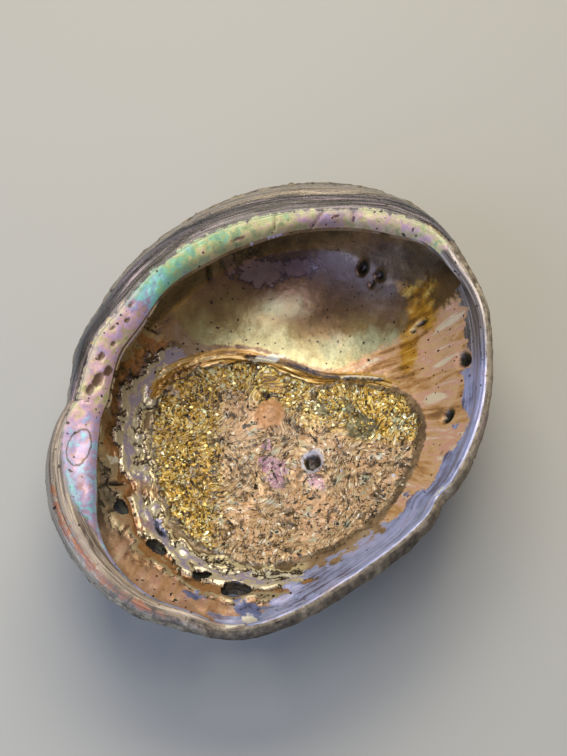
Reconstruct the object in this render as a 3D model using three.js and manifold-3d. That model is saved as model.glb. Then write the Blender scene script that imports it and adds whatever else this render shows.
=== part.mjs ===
// Abalone shell, lying on its back with the open side up, in millimetres.
//
// The shell is one piece that grew in a fast-opening flat spiral. +X points to the spire end, -X to the
// front end, +Y to the columellar side, where the rim is rolled inwards into a broad nacreous shelf, and -Y
// to the thin outer lip. +Z is up, out of the bowl. The origin is under the middle of the outline, on the
// plane that the shell rests on.
//
// One closed surface makes the shell. It starts in the middle of the bowl, runs out across the floor and up
// the wall, turns over the rim, and comes back down the outside to the worn spot that it stands on.

import * as THREE from "three";
import { ParametricGeometry } from "three/addons/geometries/ParametricGeometry.js";
import { mergeVertices } from "three/addons/utils/BufferGeometryUtils.js";
import Module from "manifold-3d";

// ---------------------------------------------------------------- driving dimensions

const LENGTH = 190; // the oval outline, spire end to front end
const WIDTH = 146; // the oval outline, across the shelf and the outer lip
const WALL = 4.5; // nacre and outer layer together, half-way up the wall
const FLOOR = 5.4; // the same under the middle of the bowl
const BELLY = 2.3; // how boxy the bowl's section is: 2 is an ellipse
const WORN = 0.55; // depth worn off the lowest point, which leaves the flat that the shell rests on
const LOWEST = new THREE.Vector2(11, 11); // where the shell is deepest

// The rim, by the angle in degrees from the spire end, turning towards the shelf.
const RIM_HEIGHT = [
  [0, 57], [45, 57.5], [90, 56.5], [124, 55], [150, 54], [175, 53], [198, 52], [228, 53.5], [270, 55], [315, 56.5],
];

// The width of the shelf, in from the outline, and how far in its highest line lies.
const SHELF_WIDTH = [
  [11, 27], [30, 28], [51, 25], [72, 20.5], [92, 19], [110, 16.5], [124, 15.5], [137, 19], [150, 18.5], [161, 13],
  [177, 8.5], [198, 5.5], [230, 4.8], [280, 4.8], [320, 5.5], [343, 12], [353, 20],
];
const CREST_INSET = [
  [12, 21], [28, 20.5], [43, 17.8], [60, 14.4], [75, 12], [92, 9.8], [106, 7.2], [124, 4.4], [150, 4.6],
  [175, 3.2], [200, 2.1], [240, 1.9], [300, 1.9], [335, 4], [354, 13],
];

// How upright the wall stands at the rim: 90 degrees of a quarter turn is upright, less leans outwards.
const SWEEP = [[20, 84], [100, 86], [130, 76], [165, 62], [200, 58], [240, 62], [290, 66], [340, 78]];

// How far in from the outline the bowl's wall stands where it runs under the shelf.
const UNDERCUT = { least: 9.5, shareOfShelf: 0.5 };

// The raised scar of the shell muscle, a rounded patch of the floor with a straighter edge to the spire side.
const SCAR = { centre: new THREE.Vector2(-9.5, -4.5), radius: 46.5, rise: 1.6, slope: 11 };

// The spire, a low blunt coil on the outside.
const SPIRE = { centre: new THREE.Vector2(71, 3), radius: 17, rise: 3.2 };

// The row of breathing holes: a raised cord on the outside, from the spire to the corner of the front lip.
const HOLE_ROW = [
  [66, 17], [54, 33], [38, 44], [20, 50], [0, 52.5], [-20, 52], [-40, 46], [-56, 36], [-68, 21], [-72, 3],
  [-73, -13], [-80, -24], [-91, -28],
];
const CORD = { rise: 1.6, halfWidth: 6.5 };

// The breathing holes that are still open, from the oldest to the newest.
const HOLES = [
  { at: [-60.5, 33.5], radius: 2.9 },
  { at: [-69, 14.5], radius: 3.0 },
  { at: [-71, -6], radius: 2.6 },
  { at: [-70.5, -20.5], radius: 4.3 },
];

// A shallow pit that something bored into the scar.
const PIT = { at: [-5, -16.5], radius: 4.2, depth: 1.8 };

const AROUND = 96; // steps round the rim
const FLOOR_STEPS = 15;
const RIM_STEPS = 12;
const BACK_STEPS = 13;

// ---------------------------------------------------------------- helpers

const radians = THREE.MathUtils.degToRad;
const { lerp, smoothstep, clamp } = THREE.MathUtils;

// A smooth bell of height 1 at a bearing, in degrees, falling away over about the width.
function bell(angle, bearing, width) {
  const away = ((angle - bearing + 540) % 360) - 180;
  return Math.exp(-((away / width) ** 2));
}

// A smooth closed curve through [angle, value] stations.
function around(stations, angle) {
  const n = stations.length;
  const bearing = (i) => stations[((i % n) + n) % n][0] + 360 * Math.floor(i / n);
  const value = (i) => stations[((i % n) + n) % n][1];
  let i = 0;
  let a = ((angle % 360) + 360) % 360;
  if (a < bearing(0)) a += 360;
  while (i < n - 1 && bearing(i + 1) <= a) i += 1;
  const t = (a - bearing(i)) / (bearing(i + 1) - bearing(i));
  const slopeAt = (k) => (value(k + 1) - value(k - 1)) / (bearing(k + 1) - bearing(k - 1));
  const step = bearing(i + 1) - bearing(i);
  const [h0, h1] = [2 * t ** 3 - 3 * t ** 2 + 1, t ** 3 - 2 * t ** 2 + t];
  const [h2, h3] = [-2 * t ** 3 + 3 * t ** 2, t ** 3 - t ** 2];
  return h0 * value(i) + h1 * step * slopeAt(i) + h2 * value(i + 1) + h3 * step * slopeAt(i + 1);
}

// ---------------------------------------------------------------- the outline

function ovalRadius(angle) {
  const [c, s] = [Math.cos(radians(angle)), Math.sin(radians(angle))];
  const [a, b] = [LENGTH / 2, WIDTH / 2];
  return (a * b) / Math.hypot(b * c, a * s);
}

// What the rim adds to the oval: a crease where growth once stopped, the front lobe beside it, a blunt
// corner where the row of holes meets the lip, flatter stretches of lip and a chip.
function rimDeparture(angle) {
  const crease = -4.4 * bell(angle, 120, 12) - 1.2 * bell(angle, 125, 4) - 1.3 * bell(angle, 93, 13);
  const lobe = 1.2 * bell(angle, 150, 14);
  const corner = 1.2 * bell(angle, 202, 9) - 1.2 * bell(angle, 188, 6);
  const flatter = -2.3 * bell(angle, 226, 17) - 1.6 * bell(angle, 306, 15) - 2.8 * bell(angle, 332, 12);
  const chip = -1.6 * bell(angle, 257, 4);
  return crease + lobe + corner + flatter + chip;
}

const outlineRadius = (angle) => ovalRadius(angle) + rimDeparture(angle);

// The rim's highest line.
function crestHeight(angle) {
  const chip = -3.2 * bell(angle, 257, 4);
  const notch = -2.2 * bell(angle, 197, 4);
  return around(RIM_HEIGHT, angle) + chip + notch;
}

// The height of the outline, below the crest, where the back of the shell ends.
const shoulderHeight = (angle) => around(RIM_HEIGHT, angle) - 4.5 - 0.24 * around(CREST_INSET, angle);

// ---------------------------------------------------------------- the outside

// The back of the shell: across = 0 at the lowest point, 1 at the shoulder.
function back(angle, across) {
  const sweep = radians(around(SWEEP, angle));
  const out = (Math.sin(sweep * across) / Math.sin(sweep)) ** (2 / BELLY);
  const up = (1 - Math.cos(sweep * across) ** (2 / BELLY)) / (1 - Math.cos(sweep) ** (2 / BELLY));
  const r = ovalRadius(angle) * out + rimDeparture(angle) * smoothstep(across, 0.6, 1);
  const drift = 1 - out ** 2;
  return new THREE.Vector3(
    LOWEST.x * drift + r * Math.cos(radians(angle)),
    LOWEST.y * drift + r * Math.sin(radians(angle)),
    shoulderHeight(angle) * up,
  );
}

// The direction out of the wall at a point of the back.
function outward(angle, across) {
  const step = 0.004;
  const near = clamp(across, step, 1 - step);
  const rising = back(angle, near + step).sub(back(angle, near - step));
  const turning = back(angle + 1, near).sub(back(angle - 1, near));
  return rising.cross(turning).normalize().negate();
}

const rowCurve = new THREE.CatmullRomCurve3(HOLE_ROW.map(([x, y]) => new THREE.Vector3(x, y, 0)));
const rowPoints = rowCurve.getSpacedPoints(120);

// How far the outside swells at a place: the spire's coil, and the cord that carries the holes.
function relief(x, y) {
  const toSpire = Math.hypot(x - SPIRE.centre.x, y - SPIRE.centre.y) / SPIRE.radius;
  const toRow = Math.min(...rowPoints.map((p) => Math.hypot(x - p.x, y - p.y))) / CORD.halfWidth;
  return SPIRE.rise * Math.exp(-(toSpire ** 2)) + CORD.rise * Math.exp(-(toRow ** 2));
}

function outside(angle, across) {
  const base = back(angle, across);
  const swelling = relief(base.x, base.y) * smoothstep(1 - across, 0, 0.12);
  const point = base.addScaledVector(outward(angle, across), swelling);
  point.z = Math.max(0, point.z - WORN);
  return point;
}

// ---------------------------------------------------------------- the inside

function scarRadius(angle) {
  const lobes = 4.5 * bell(angle, 80, 28) + 6 * bell(angle, -48, 28);
  const hollows = 10 * bell(angle, 8, 26) + 2.5 * bell(angle, 128, 22);
  return SCAR.radius + lobes - hollows;
}

// How far a place lies on the muscle scar: 1 on it, 0 off it.
function onScar(x, y) {
  const place = new THREE.Vector2(x, y).sub(SCAR.centre);
  const within = scarRadius((place.angle() * 180) / Math.PI) - place.length();
  return smoothstep(within, -SCAR.slope / 2, SCAR.slope / 2);
}

// How much the rim at this bearing is a rolled shelf, from 0 on the thin lip to 1.
const shelfShare = (angle) => smoothstep(around(SHELF_WIDTH, angle), 5, 15);

// How far up the back's section the bowl's wall reaches before the rim begins.
const wallTop = (angle) => lerp(0.79, 0.66, shelfShare(angle));

function inside(angle, across) {
  const share = shelfShare(angle);
  const thick = lerp(FLOOR, lerp(WALL, WALL + 1.4, share), smoothstep(across, 0.1, 0.7));
  const point = back(angle, across).addScaledVector(outward(angle, across), -thick);
  point.z += SCAR.rise * onScar(point.x, point.y) - WORN;
  return point;
}

// ---------------------------------------------------------------- the rim

// The rim's section at a bearing, from the top of the bowl's wall over the crest to the shoulder.
function rimSection(angle) {
  const share = shelfShare(angle);
  const crest = crestHeight(angle) - WORN;
  const width = around(SHELF_WIDTH, angle);
  const inset = around(CREST_INSET, angle);
  const edge = crest - lerp(0.7, 3.2, share); // the shelf slopes down a little to its inner edge
  const lipDepth = lerp(2.2, 4.6, share);
  const at = (fromOutline, height) => {
    const r = outlineRadius(angle) - fromOutline;
    return new THREE.Vector3(r * Math.cos(radians(angle)), r * Math.sin(radians(angle)), height);
  };
  const under = Math.max(UNDERCUT.least, width * UNDERCUT.shareOfShelf);
  return new THREE.CatmullRomCurve3(
    [
      inside(angle, wallTop(angle)),
      at(lerp(5.2, under, share), lerp(edge - 7.5, edge - lipDepth - 8, share)),
      at(lerp(5.0, width - 4.5, share), edge - lipDepth - lerp(1.6, 1.2, share)),
      at(width - 0.3, edge - lipDepth * 0.55),
      at(width - 1.3, edge - 0.2),
      at(lerp(inset, width, 0.5), lerp(crest, edge, 0.42)),
      at(inset, crest),
      at(inset * 0.42, crest - 0.9 - 0.08 * inset),
      outside(angle, 1),
    ],
    false,
    "centripetal",
  );
}

// ---------------------------------------------------------------- the whole surface

const rims = new Map();
function rimAt(angle, along) {
  if (!rims.has(angle)) rims.set(angle, rimSection(angle));
  return rims.get(angle).getPoint(along);
}

// v runs from the middle of the bowl (0) over the rim to the middle of the back (1). u runs round, towards
// the outer lip, so that the faces point out.
const STEPS = FLOOR_STEPS + RIM_STEPS + BACK_STEPS;
function surface(u, v, target) {
  const angle = 360 * ((1 - u) % 1);
  const step = Math.round(v * STEPS);
  if (step <= FLOOR_STEPS) {
    target.copy(inside(step ? angle : 0, (wallTop(angle) * step) / FLOOR_STEPS));
  } else if (step < FLOOR_STEPS + RIM_STEPS) {
    target.copy(rimAt(angle, (step - FLOOR_STEPS) / RIM_STEPS));
  } else {
    const across = (STEPS - step) / BACK_STEPS;
    target.copy(outside(across ? angle : 0, across));
  }
}

// ---------------------------------------------------------------- drilling the holes

const wasm = await Module();
wasm.setup();

function solidFrom(geometry) {
  const bare = geometry.clone().deleteAttribute("normal").deleteAttribute("uv");
  const merged = mergeVertices(bare, 1e-4);
  const corners = [];
  const index = merged.index.array;
  for (let i = 0; i < index.length; i += 3) {
    const [a, b, c] = index.subarray(i, i + 3);
    if (a !== b && b !== c && c !== a) corners.push(a, b, c);
  }
  return new wasm.Manifold(
    new wasm.Mesh({
      numProp: 3,
      vertProperties: merged.attributes.position.array,
      triVerts: new Uint32Array(corners),
    }),
  );
}

function geometryFrom(solid) {
  const mesh = solid.getMesh();
  return new THREE.BufferGeometry()
    .setAttribute("position", new THREE.BufferAttribute(new Float32Array(mesh.vertProperties), 3))
    .setIndex(new THREE.BufferAttribute(new Uint32Array(mesh.triVerts), 1));
}

// The bearing and the share across the back that lie over a place in the plan.
function backAt(x, y) {
  const found = { angle: 0, across: 0.5, miss: Infinity };
  for (let angle = 0; angle < 360; angle += 1)
    for (let across = 0.05; across < 1; across += 0.01) {
      const point = back(angle, across);
      const miss = Math.hypot(point.x - x, point.y - y);
      if (miss < found.miss) Object.assign(found, { angle, across, miss });
    }
  return found;
}

// A pin through the wall at a hole, square to the wall.
function holePin({ at: [x, y], radius }) {
  const { angle, across } = backAt(x, y);
  const direction = outward(angle, across);
  const pin = new THREE.CylinderGeometry(radius, radius * 0.86, 30, 16);
  const turn = new THREE.Quaternion().setFromUnitVectors(new THREE.Vector3(0, 1, 0), direction);
  const middle = back(angle, across).addScaledVector(direction, -WALL / 2);
  return pin.applyQuaternion(turn).translate(middle.x, middle.y, middle.z);
}

// A ball that scoops out the pit.
function pitBall() {
  const { at: [x, y], radius, depth } = PIT;
  const ball = (radius ** 2 + depth ** 2) / (2 * depth);
  const { angle, across } = backAt(x, y);
  const floor = inside(angle, across);
  return new THREE.SphereGeometry(ball, 20, 14).translate(x, y, floor.z + ball - depth);
}

const whole = solidFrom(new ParametricGeometry(surface, AROUND, STEPS));
const drilled = HOLES.reduce((solid, hole) => solid.subtract(solidFrom(holePin(hole))), whole);
const bored = drilled.subtract(solidFrom(pitBall()));

// ---------------------------------------------------------------- the part

// Sets the origin under the middle of the outline, on the plane of the worn flat.
function standOnOrigin(geometry) {
  geometry.computeBoundingBox();
  const middle = geometry.boundingBox.getCenter(new THREE.Vector3());
  return geometry.translate(-middle.x, -middle.y, -geometry.boundingBox.min.z);
}

const nacre = new THREE.MeshStandardMaterial({ color: 0xb58a5c, roughness: 0.35, metalness: 0.1 });

const shell = new THREE.Mesh(standOnOrigin(geometryFrom(bored)), nacre);
shell.name = "abalone_shell";

const part = new THREE.Group();
part.add(shell);

export default part;
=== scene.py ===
# %% [markdown]
# # An abalone shell, open side up
# The shell is one piece of calcium carbonate that the animal laid down round its own body. Inside it is
# nacre, thin glossy plates that split light into pink, green and blue. Outside it is a rough crust. The
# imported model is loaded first, because it fixes where the shell is and how big it is.

# %% Load the frame
import math

import bmesh
import bpy
import numpy as np
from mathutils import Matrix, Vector
from mathutils.kdtree import KDTree


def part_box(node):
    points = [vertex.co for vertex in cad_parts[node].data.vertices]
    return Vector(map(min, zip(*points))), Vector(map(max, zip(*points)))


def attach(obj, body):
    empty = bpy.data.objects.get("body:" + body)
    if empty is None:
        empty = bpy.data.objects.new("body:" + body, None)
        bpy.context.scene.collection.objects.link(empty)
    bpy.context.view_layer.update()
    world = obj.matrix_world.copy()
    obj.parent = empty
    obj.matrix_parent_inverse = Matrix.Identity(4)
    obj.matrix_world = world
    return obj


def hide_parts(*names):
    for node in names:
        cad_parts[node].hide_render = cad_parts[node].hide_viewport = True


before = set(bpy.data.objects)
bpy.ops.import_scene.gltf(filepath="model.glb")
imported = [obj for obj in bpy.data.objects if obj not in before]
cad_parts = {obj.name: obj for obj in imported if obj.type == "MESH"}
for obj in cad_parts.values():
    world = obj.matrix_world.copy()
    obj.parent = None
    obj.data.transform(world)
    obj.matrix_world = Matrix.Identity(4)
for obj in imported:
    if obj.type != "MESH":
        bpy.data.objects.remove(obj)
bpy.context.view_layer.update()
CAD_LOW, CAD_HIGH = (np.array(corner) * 1000 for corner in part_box("abalone_shell"))
print("frame in mm:", CAD_LOW.round(1), CAD_HIGH.round(1))

# %% [markdown]
# ## Floor, camera and lights
# The shell is seen from 60 degrees above the table, over its front end, so that one looks down into the bowl
# and along the shelf. The camera could be placed by eye, but it is simpler to say which point it looks at,
# from which side, how high and how far away. +X, the spire end, then points up and a little to the right.

# %% Camera
MM = 0.001
TARGET = np.array([4.9, 0.1, 45.0])  # the point looked at, in mm
ELEVATION = math.radians(60)
HEADING = math.radians(63)  # from the camera's right hand to +X, seen from above
DISTANCE = 425.0
LENS = 57.1  # on a 36 mm sensor

RIGHT = np.array([math.cos(HEADING), -math.sin(HEADING), 0.0])
AWAY = np.array([math.sin(HEADING), math.cos(HEADING), 0.0])
UP = np.array([0.0, 0.0, 1.0])


def collect(name, data):
    """A new object in the scene."""
    made = bpy.data.objects.new(name, data)
    bpy.context.scene.collection.objects.link(made)
    return made


def aim(thing, place, target):
    """Puts a camera or light at a place in mm, looking at a target in mm."""
    thing.location = Vector(place) * MM
    thing.rotation_euler = (Vector(target) - Vector(place)).to_track_quat("-Z", "Y").to_euler()


camera = collect("camera", bpy.data.cameras.new("camera"))
camera.data.lens = LENS
camera.data.clip_start = 0.01
back_and_up = -AWAY * math.cos(ELEVATION) + UP * math.sin(ELEVATION)
aim(camera, TARGET + back_and_up * DISTANCE, TARGET)
bpy.context.scene.camera = camera

# %% [markdown]
# Nacre shows colour only where it mirrors something bright, so the light comes from wide soft panels rather
# than from small lamps: a warm one high up behind the shell, and a cool one low in front and to the left.
# Panels are area lights; a bright world alone would be even softer, but would leave no shadow under the rim.

# %% Lights and floor
PANELS = [
    # name, away, right, up (mm from the shell), width, depth (mm), watts, colour
    ("key", 440, -30, 700, 640, 480, 6.5, (1.0, 0.97, 0.85)),
    ("top", -60, 40, 900, 380, 380, 1.9, (1.0, 1.0, 0.94)),
    ("fill", -430, -520, 400, 900, 700, 5.6, (0.44, 0.62, 1.0)),
]
for name, away, right, up, width, depth, watts, tint in PANELS:
    light = bpy.data.lights.new(name, "AREA")
    light.shape = "RECTANGLE"
    light.size, light.size_y = width * MM, depth * MM
    light.energy, light.color = watts, tint
    aim(collect(name, light), AWAY * away + RIGHT * right + UP * up, (0, 0, 20))

world = bpy.data.worlds.new("studio")
world.use_nodes = True
world.node_tree.nodes["Background"].inputs["Color"].default_value = (0.86, 0.86, 0.9, 1)
world.node_tree.nodes["Background"].inputs["Strength"].default_value = 0.25
bpy.context.scene.world = world
bpy.context.scene.view_settings.view_transform = "Standard"

# %% [markdown]
# ## One helper for nodes
# Every material and every Geometry Nodes tree below is a chain of nodes. One function adds a node, sets its
# settings, and fills each input either with a value or with a link from an earlier node's output. A kind
# that is used often has a short name, which stands for the node, its settings and the output that is wanted.


# %% Kinds of node
TIMES, PLUS, MINUS, TIMES_PLUS, SIZE_OF, LARGER, FRACTION, ABOVE, BELOW, SINE = (
    ("ShaderNodeMath", {"operation": name}, 0)
    for name in (
        "MULTIPLY", "ADD", "SUBTRACT", "MULTIPLY_ADD", "ABSOLUTE", "MAXIMUM", "FRACT", "GREATER_THAN", "LESS_THAN",
        "SINE",
    )
)
VECTOR_TIMES, VECTOR_PLUS, VECTOR_MINUS, SCALED = (
    ("ShaderNodeVectorMath", {"operation": name}, 0) for name in ("MULTIPLY", "ADD", "SUBTRACT", "SCALE")
)
RANGE, NOISE, CELLS, RAMP = "ShaderNodeMapRange", "ShaderNodeTexNoise", "ShaderNodeTexVoronoi", "ShaderNodeValToRGB"
EASE = (RANGE, {"interpolation_type": "SMOOTHSTEP"}, 0)  # value, from, full, and what it gives at each
BLEND = ("ShaderNodeMix", {"data_type": "RGBA"}, 2)  # 0 the share, 6 and 7 the two colours
ZONE, PLACE = (("GeometryNodeInputNamedAttribute", {"data_type": kind}, 0) for kind in ("FLOAT", "FLOAT_VECTOR"))
ZONE_TONE, PLACE_TONE = (("ShaderNodeAttribute", {}, out) for out in (2, 1))
RANDOM = ("FunctionNodeRandomValue", {}, 1)


# %% Node helper and colours
def add(tree, kind, values=(), out=None, stops=None, **settings):
    """A node of this kind, with its inputs given by position or name. Returns one of its outputs."""
    kind, usual, first = kind if isinstance(kind, tuple) else (kind, {}, 0)
    made = tree.nodes.new(kind)
    for name, value in {**usual, **settings}.items():
        setattr(made, name, value)
    for key, value in values.items() if isinstance(values, dict) else enumerate(values):
        if isinstance(value, bpy.types.NodeSocket):
            tree.links.new(value, made.inputs[key])
        elif value is not None:
            made.inputs[key].default_value = value
    if stops:
        ramp = made.color_ramp.elements
        while len(ramp) < len(stops):
            ramp.new(0.5)
        for element, (position, tint) in zip(ramp, stops):
            element.position, element.color = position, tint
    return made.outputs[first if out is None else out] if len(made.outputs) else made


def roughen(tree, distance, noise, by):
    """A distance or a share with noise added to it, so that a border cut from it is ragged."""
    return add(tree, TIMES_PLUS, (add(tree, MINUS, (noise, 0.5)), by, distance))


def shade(text):
    """A hex sRGB colour as the linear values that nodes take."""
    parts = [int(text[i : i + 2], 16) / 255 for i in (0, 2, 4)]
    return (*[c / 12.92 if c <= 0.04045 else ((c + 0.055) / 1.055) ** 2.4 for c in parts], 1.0)


# %% Matt paint: it takes soft shadows and mirrors nothing, so only the shell shines
table_paint = bpy.data.materials.new("matt_table_paint")
table_paint.use_nodes = True
surface = table_paint.node_tree.nodes["Principled BSDF"]
for name, value in {"Roughness": 0.85, "Specular IOR Level": 0.2}.items():
    surface.inputs[name].default_value = value
surface.inputs["Base Color"].default_value = shade("a9a49c")

floor = bpy.data.meshes.new("floor")
SPAN = 1.5  # metres from the middle of the floor to each side
corners = [(-SPAN, -SPAN, 0), (SPAN, -SPAN, 0), (SPAN, SPAN, 0), (-SPAN, SPAN, 0)]
floor.from_pydata(corners, [], [(0, 1, 2, 3)])
floor.materials.append(table_paint)
collect("floor", floor)

# %% [markdown]
# ## The rule that shapes the shell
# An abalone grows by adding to its rim, so its whole form follows from a few smooth curves taken round the
# rim: the outline, the height of the rim, how wide the rolled shelf is and how upright the wall stands. Each
# curve is given by a few stations, a bearing in degrees from the spire end and a value, with a smooth line
# through them. The same numbers, in millimetres, shape the solid in the frame, so the two agree everywhere.

# %% Smooth curves round the rim


def smooth(x, low, high):
    """0 below low, 1 above high, and a smooth rise between."""
    t = np.clip((x - low) / (high - low), 0, 1)
    return t * t * (3 - 2 * t)


def lerp(a, b, t):
    return a + (b - a) * t


def bell(bearing, centre, width):
    """A smooth bell of height 1 at one bearing."""
    away = (bearing - centre + 540) % 360 - 180
    return np.exp(-((away / width) ** 2))


def around(stations, bearing):
    """A smooth closed curve through (bearing, value) stations."""
    angles, values = np.array(stations, float).T
    angles = np.concatenate([angles[-2:] - 360, angles, angles[:3] + 360])
    values = np.concatenate([values[-2:], values, values[:3]])
    turn = np.asarray(bearing, float) % 360
    turn = np.where(turn < stations[0][0], turn + 360, turn)
    i = np.clip(np.searchsorted(angles, turn, side="right") - 1, 1, len(angles) - 3)
    step = angles[i + 1] - angles[i]
    t = (turn - angles[i]) / step
    here = (values[i + 1] - values[i - 1]) / (angles[i + 1] - angles[i - 1]) * step
    there = (values[i + 2] - values[i]) / (angles[i + 2] - angles[i]) * step
    cubic = [2 * t**3 - 3 * t**2 + 1, t**3 - 2 * t**2 + t, 3 * t**2 - 2 * t**3, t**3 - t**2]
    return cubic[0] * values[i] + cubic[1] * here + cubic[2] * values[i + 1] + cubic[3] * there


# %% Sizes of the shell, in mm
LENGTH, WIDTH = 190.0, 146.0
WALL, SHELF_WALL, FLOOR = 4.5, 5.9, 5.4
BELLY = 2.3  # how boxy the section is: 2 is an ellipse
WORN = 0.55  # worn off the lowest point
LOWEST = np.array([11.0, 11.0])

RIM_HEIGHT = [
    (0, 57), (45, 57.5), (90, 56.5), (124, 55), (150, 54), (175, 53), (198, 52), (228, 53.5), (270, 55), (315, 56.5),
]
SHELF_WIDTH = [
    (11, 27), (30, 28), (51, 25), (72, 20.5), (92, 19), (110, 16.5), (124, 15.5), (137, 19), (150, 18.5),
    (161, 13), (177, 8.5), (198, 5.5), (230, 4.8), (280, 4.8), (320, 5.5), (343, 12), (353, 20),
]
CREST_INSET = [
    (12, 21), (28, 20.5), (43, 17.8), (60, 14.4), (75, 12), (92, 9.8), (106, 7.2), (124, 4.4), (150, 4.6),
    (175, 3.2), (200, 2.1), (240, 1.9), (300, 1.9), (335, 4), (354, 13),
]
SWEEP = [(20, 84), (100, 86), (130, 76), (165, 62), (200, 58), (240, 62), (290, 66), (340, 78)]

SCAR_CENTRE, SCAR_RADIUS, SCAR_RISE, SCAR_SLOPE = np.array([-9.5, -4.5]), 46.5, 1.6, 11.0
SPIRE_CENTRE, SPIRE_RADIUS, SPIRE_RISE = np.array([71.0, 3.0]), 17.0, 3.2
CORD_RISE, CORD_HALF_WIDTH = 1.6, 6.5
HOLE_ROW = [
    (66, 17), (54, 33), (38, 44), (20, 50), (0, 52.5), (-20, 52), (-40, 46), (-56, 36), (-68, 21), (-72, 3),
    (-73, -13), (-80, -24), (-91, -28),
]
OPEN_HOLES = [((-60.5, 33.5), 2.9), ((-69, 14.5), 3.0), ((-71, -6), 2.6), ((-70.5, -20.5), 4.3)]

# %% [markdown]
# ## Outline, back, bowl and rim
# The back is an oval bowl: on every bearing its section is part of a superellipse, which runs out from the
# lowest point to the outline. The bowl's inner face is the same surface moved in by the wall's thickness,
# plus the scar, a low plateau where the shell muscle was fixed. The rim turns from one to the other along a
# smooth curve through nine points. On the outer lip those points lie close together and make a thin edge. On
# the shelf they spread out, and the edge rolls in over the bowl.

# %% The outline and the back


def outline(bearing):
    a, b, turn = LENGTH / 2, WIDTH / 2, np.radians(bearing)
    return a * b / np.hypot(b * np.cos(turn), a * np.sin(turn))


def departure(bearing):
    """What the rim adds to the oval: a crease, the front lobe, a blunt corner, flatter stretches and a chip."""
    crease = -4.4 * bell(bearing, 120, 12) - 1.2 * bell(bearing, 125, 4) - 1.3 * bell(bearing, 93, 13)
    lobe = 1.2 * bell(bearing, 150, 14)
    corner = 1.2 * bell(bearing, 202, 9) - 1.2 * bell(bearing, 188, 6)
    flatter = -2.3 * bell(bearing, 226, 17) - 1.6 * bell(bearing, 306, 15) - 2.8 * bell(bearing, 332, 12)
    return crease + lobe + corner + flatter - 1.6 * bell(bearing, 257, 4)


def crest_height(bearing):
    return around(RIM_HEIGHT, bearing) - 3.2 * bell(bearing, 257, 4) - 2.2 * bell(bearing, 197, 4)


def back(bearing, across):
    """The back of the shell: across is 0 at the lowest point and 1 at the outline."""
    sweep = np.radians(around(SWEEP, bearing))
    out = (np.sin(sweep * across) / np.sin(sweep)) ** (2 / BELLY)
    up = (1 - np.cos(sweep * across) ** (2 / BELLY)) / (1 - np.cos(sweep) ** (2 / BELLY))
    r = outline(bearing) * out + departure(bearing) * smooth(across, 0.6, 1)
    drift, turn = 1 - out**2, np.radians(bearing)
    top = around(RIM_HEIGHT, bearing) - 4.5 - 0.24 * around(CREST_INSET, bearing)
    return np.stack([LOWEST[0] * drift + r * np.cos(turn), LOWEST[1] * drift + r * np.sin(turn), top * up], -1)


def outward(bearing, across):
    step = 0.004
    near = np.clip(across, step, 1 - step)
    rising = back(bearing, near + step) - back(bearing, near - step)
    turning = back(bearing + 1, near) - back(bearing - 1, near)
    normal = -np.cross(rising, turning)
    return normal / np.linalg.norm(normal, axis=-1, keepdims=True)


def through(points, along):
    """A smooth curve through points (..., n, 3), read at each share along it."""
    count = points.shape[-2]
    place = (count - 1) * np.asarray(along, float)
    i = np.minimum(place.astype(int), count - 2)
    t = (place - i)[:, None]
    first, last = 2 * points[..., 0, :] - points[..., 1, :], 2 * points[..., -1, :] - points[..., -2, :]
    whole = np.concatenate([first[..., None, :], points, last[..., None, :]], -2)
    p = [whole[..., i + k, :] for k in range(4)]
    d = [np.maximum(np.linalg.norm(p[k + 1] - p[k], axis=-1, keepdims=True), 1e-6) ** 0.5 for k in range(3)]
    m1 = ((p[1] - p[0]) / d[0] - (p[2] - p[0]) / (d[0] + d[1]) + (p[2] - p[1]) / d[1]) * d[1]
    m2 = ((p[2] - p[1]) / d[1] - (p[3] - p[1]) / (d[1] + d[2]) + (p[3] - p[2]) / d[2]) * d[1]
    return p[1] + m1 * t + (3 * (p[2] - p[1]) - 2 * m1 - m2) * t**2 + (2 * (p[1] - p[2]) + m1 + m2) * t**3


# %% The outside and the inside
row_line = through(np.array([(x, y, 0.0) for x, y in HOLE_ROW]), np.linspace(0, 1, 121))[:, :2]


def outside(bearing, across):
    point = back(bearing, across)
    x, y = point[..., 0], point[..., 1]
    to_spire = np.hypot(x - SPIRE_CENTRE[0], y - SPIRE_CENTRE[1]) / SPIRE_RADIUS
    to_row = np.min(np.hypot(x[..., None] - row_line[:, 0], y[..., None] - row_line[:, 1]), -1) / CORD_HALF_WIDTH
    swelling = SPIRE_RISE * np.exp(-(to_spire**2)) + CORD_RISE * np.exp(-(to_row**2))
    point = point + outward(bearing, across) * (swelling * smooth(1 - across, 0, 0.12))[..., None]
    point[..., 2] = np.maximum(0, point[..., 2] - WORN)
    return point


def inside_scar(x, y):
    """How far a place in the bowl lies inside the edge of the muscle scar, in mm."""
    dx, dy = x - SCAR_CENTRE[0], y - SCAR_CENTRE[1]
    turn = np.degrees(np.arctan2(dy, dx))
    lobes = 4.5 * bell(turn, 80, 28) + 6 * bell(turn, -48, 28)
    hollows = 10 * bell(turn, 8, 26) + 2.5 * bell(turn, 128, 22)
    return SCAR_RADIUS + lobes - hollows - np.hypot(dx, dy)


def shelf_share(bearing):
    return smooth(around(SHELF_WIDTH, bearing), 5, 15)


def wall_top(bearing):
    return lerp(0.79, 0.66, shelf_share(bearing))


def inside(bearing, across):
    thick = lerp(FLOOR, lerp(WALL, SHELF_WALL, shelf_share(bearing)), smooth(across, 0.1, 0.7))
    point = back(bearing, across) - outward(bearing, across) * thick[..., None]
    within = inside_scar(point[..., 0], point[..., 1])
    point[..., 2] += SCAR_RISE * smooth(within, -SCAR_SLOPE / 2, SCAR_SLOPE / 2) - WORN
    return point


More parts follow.
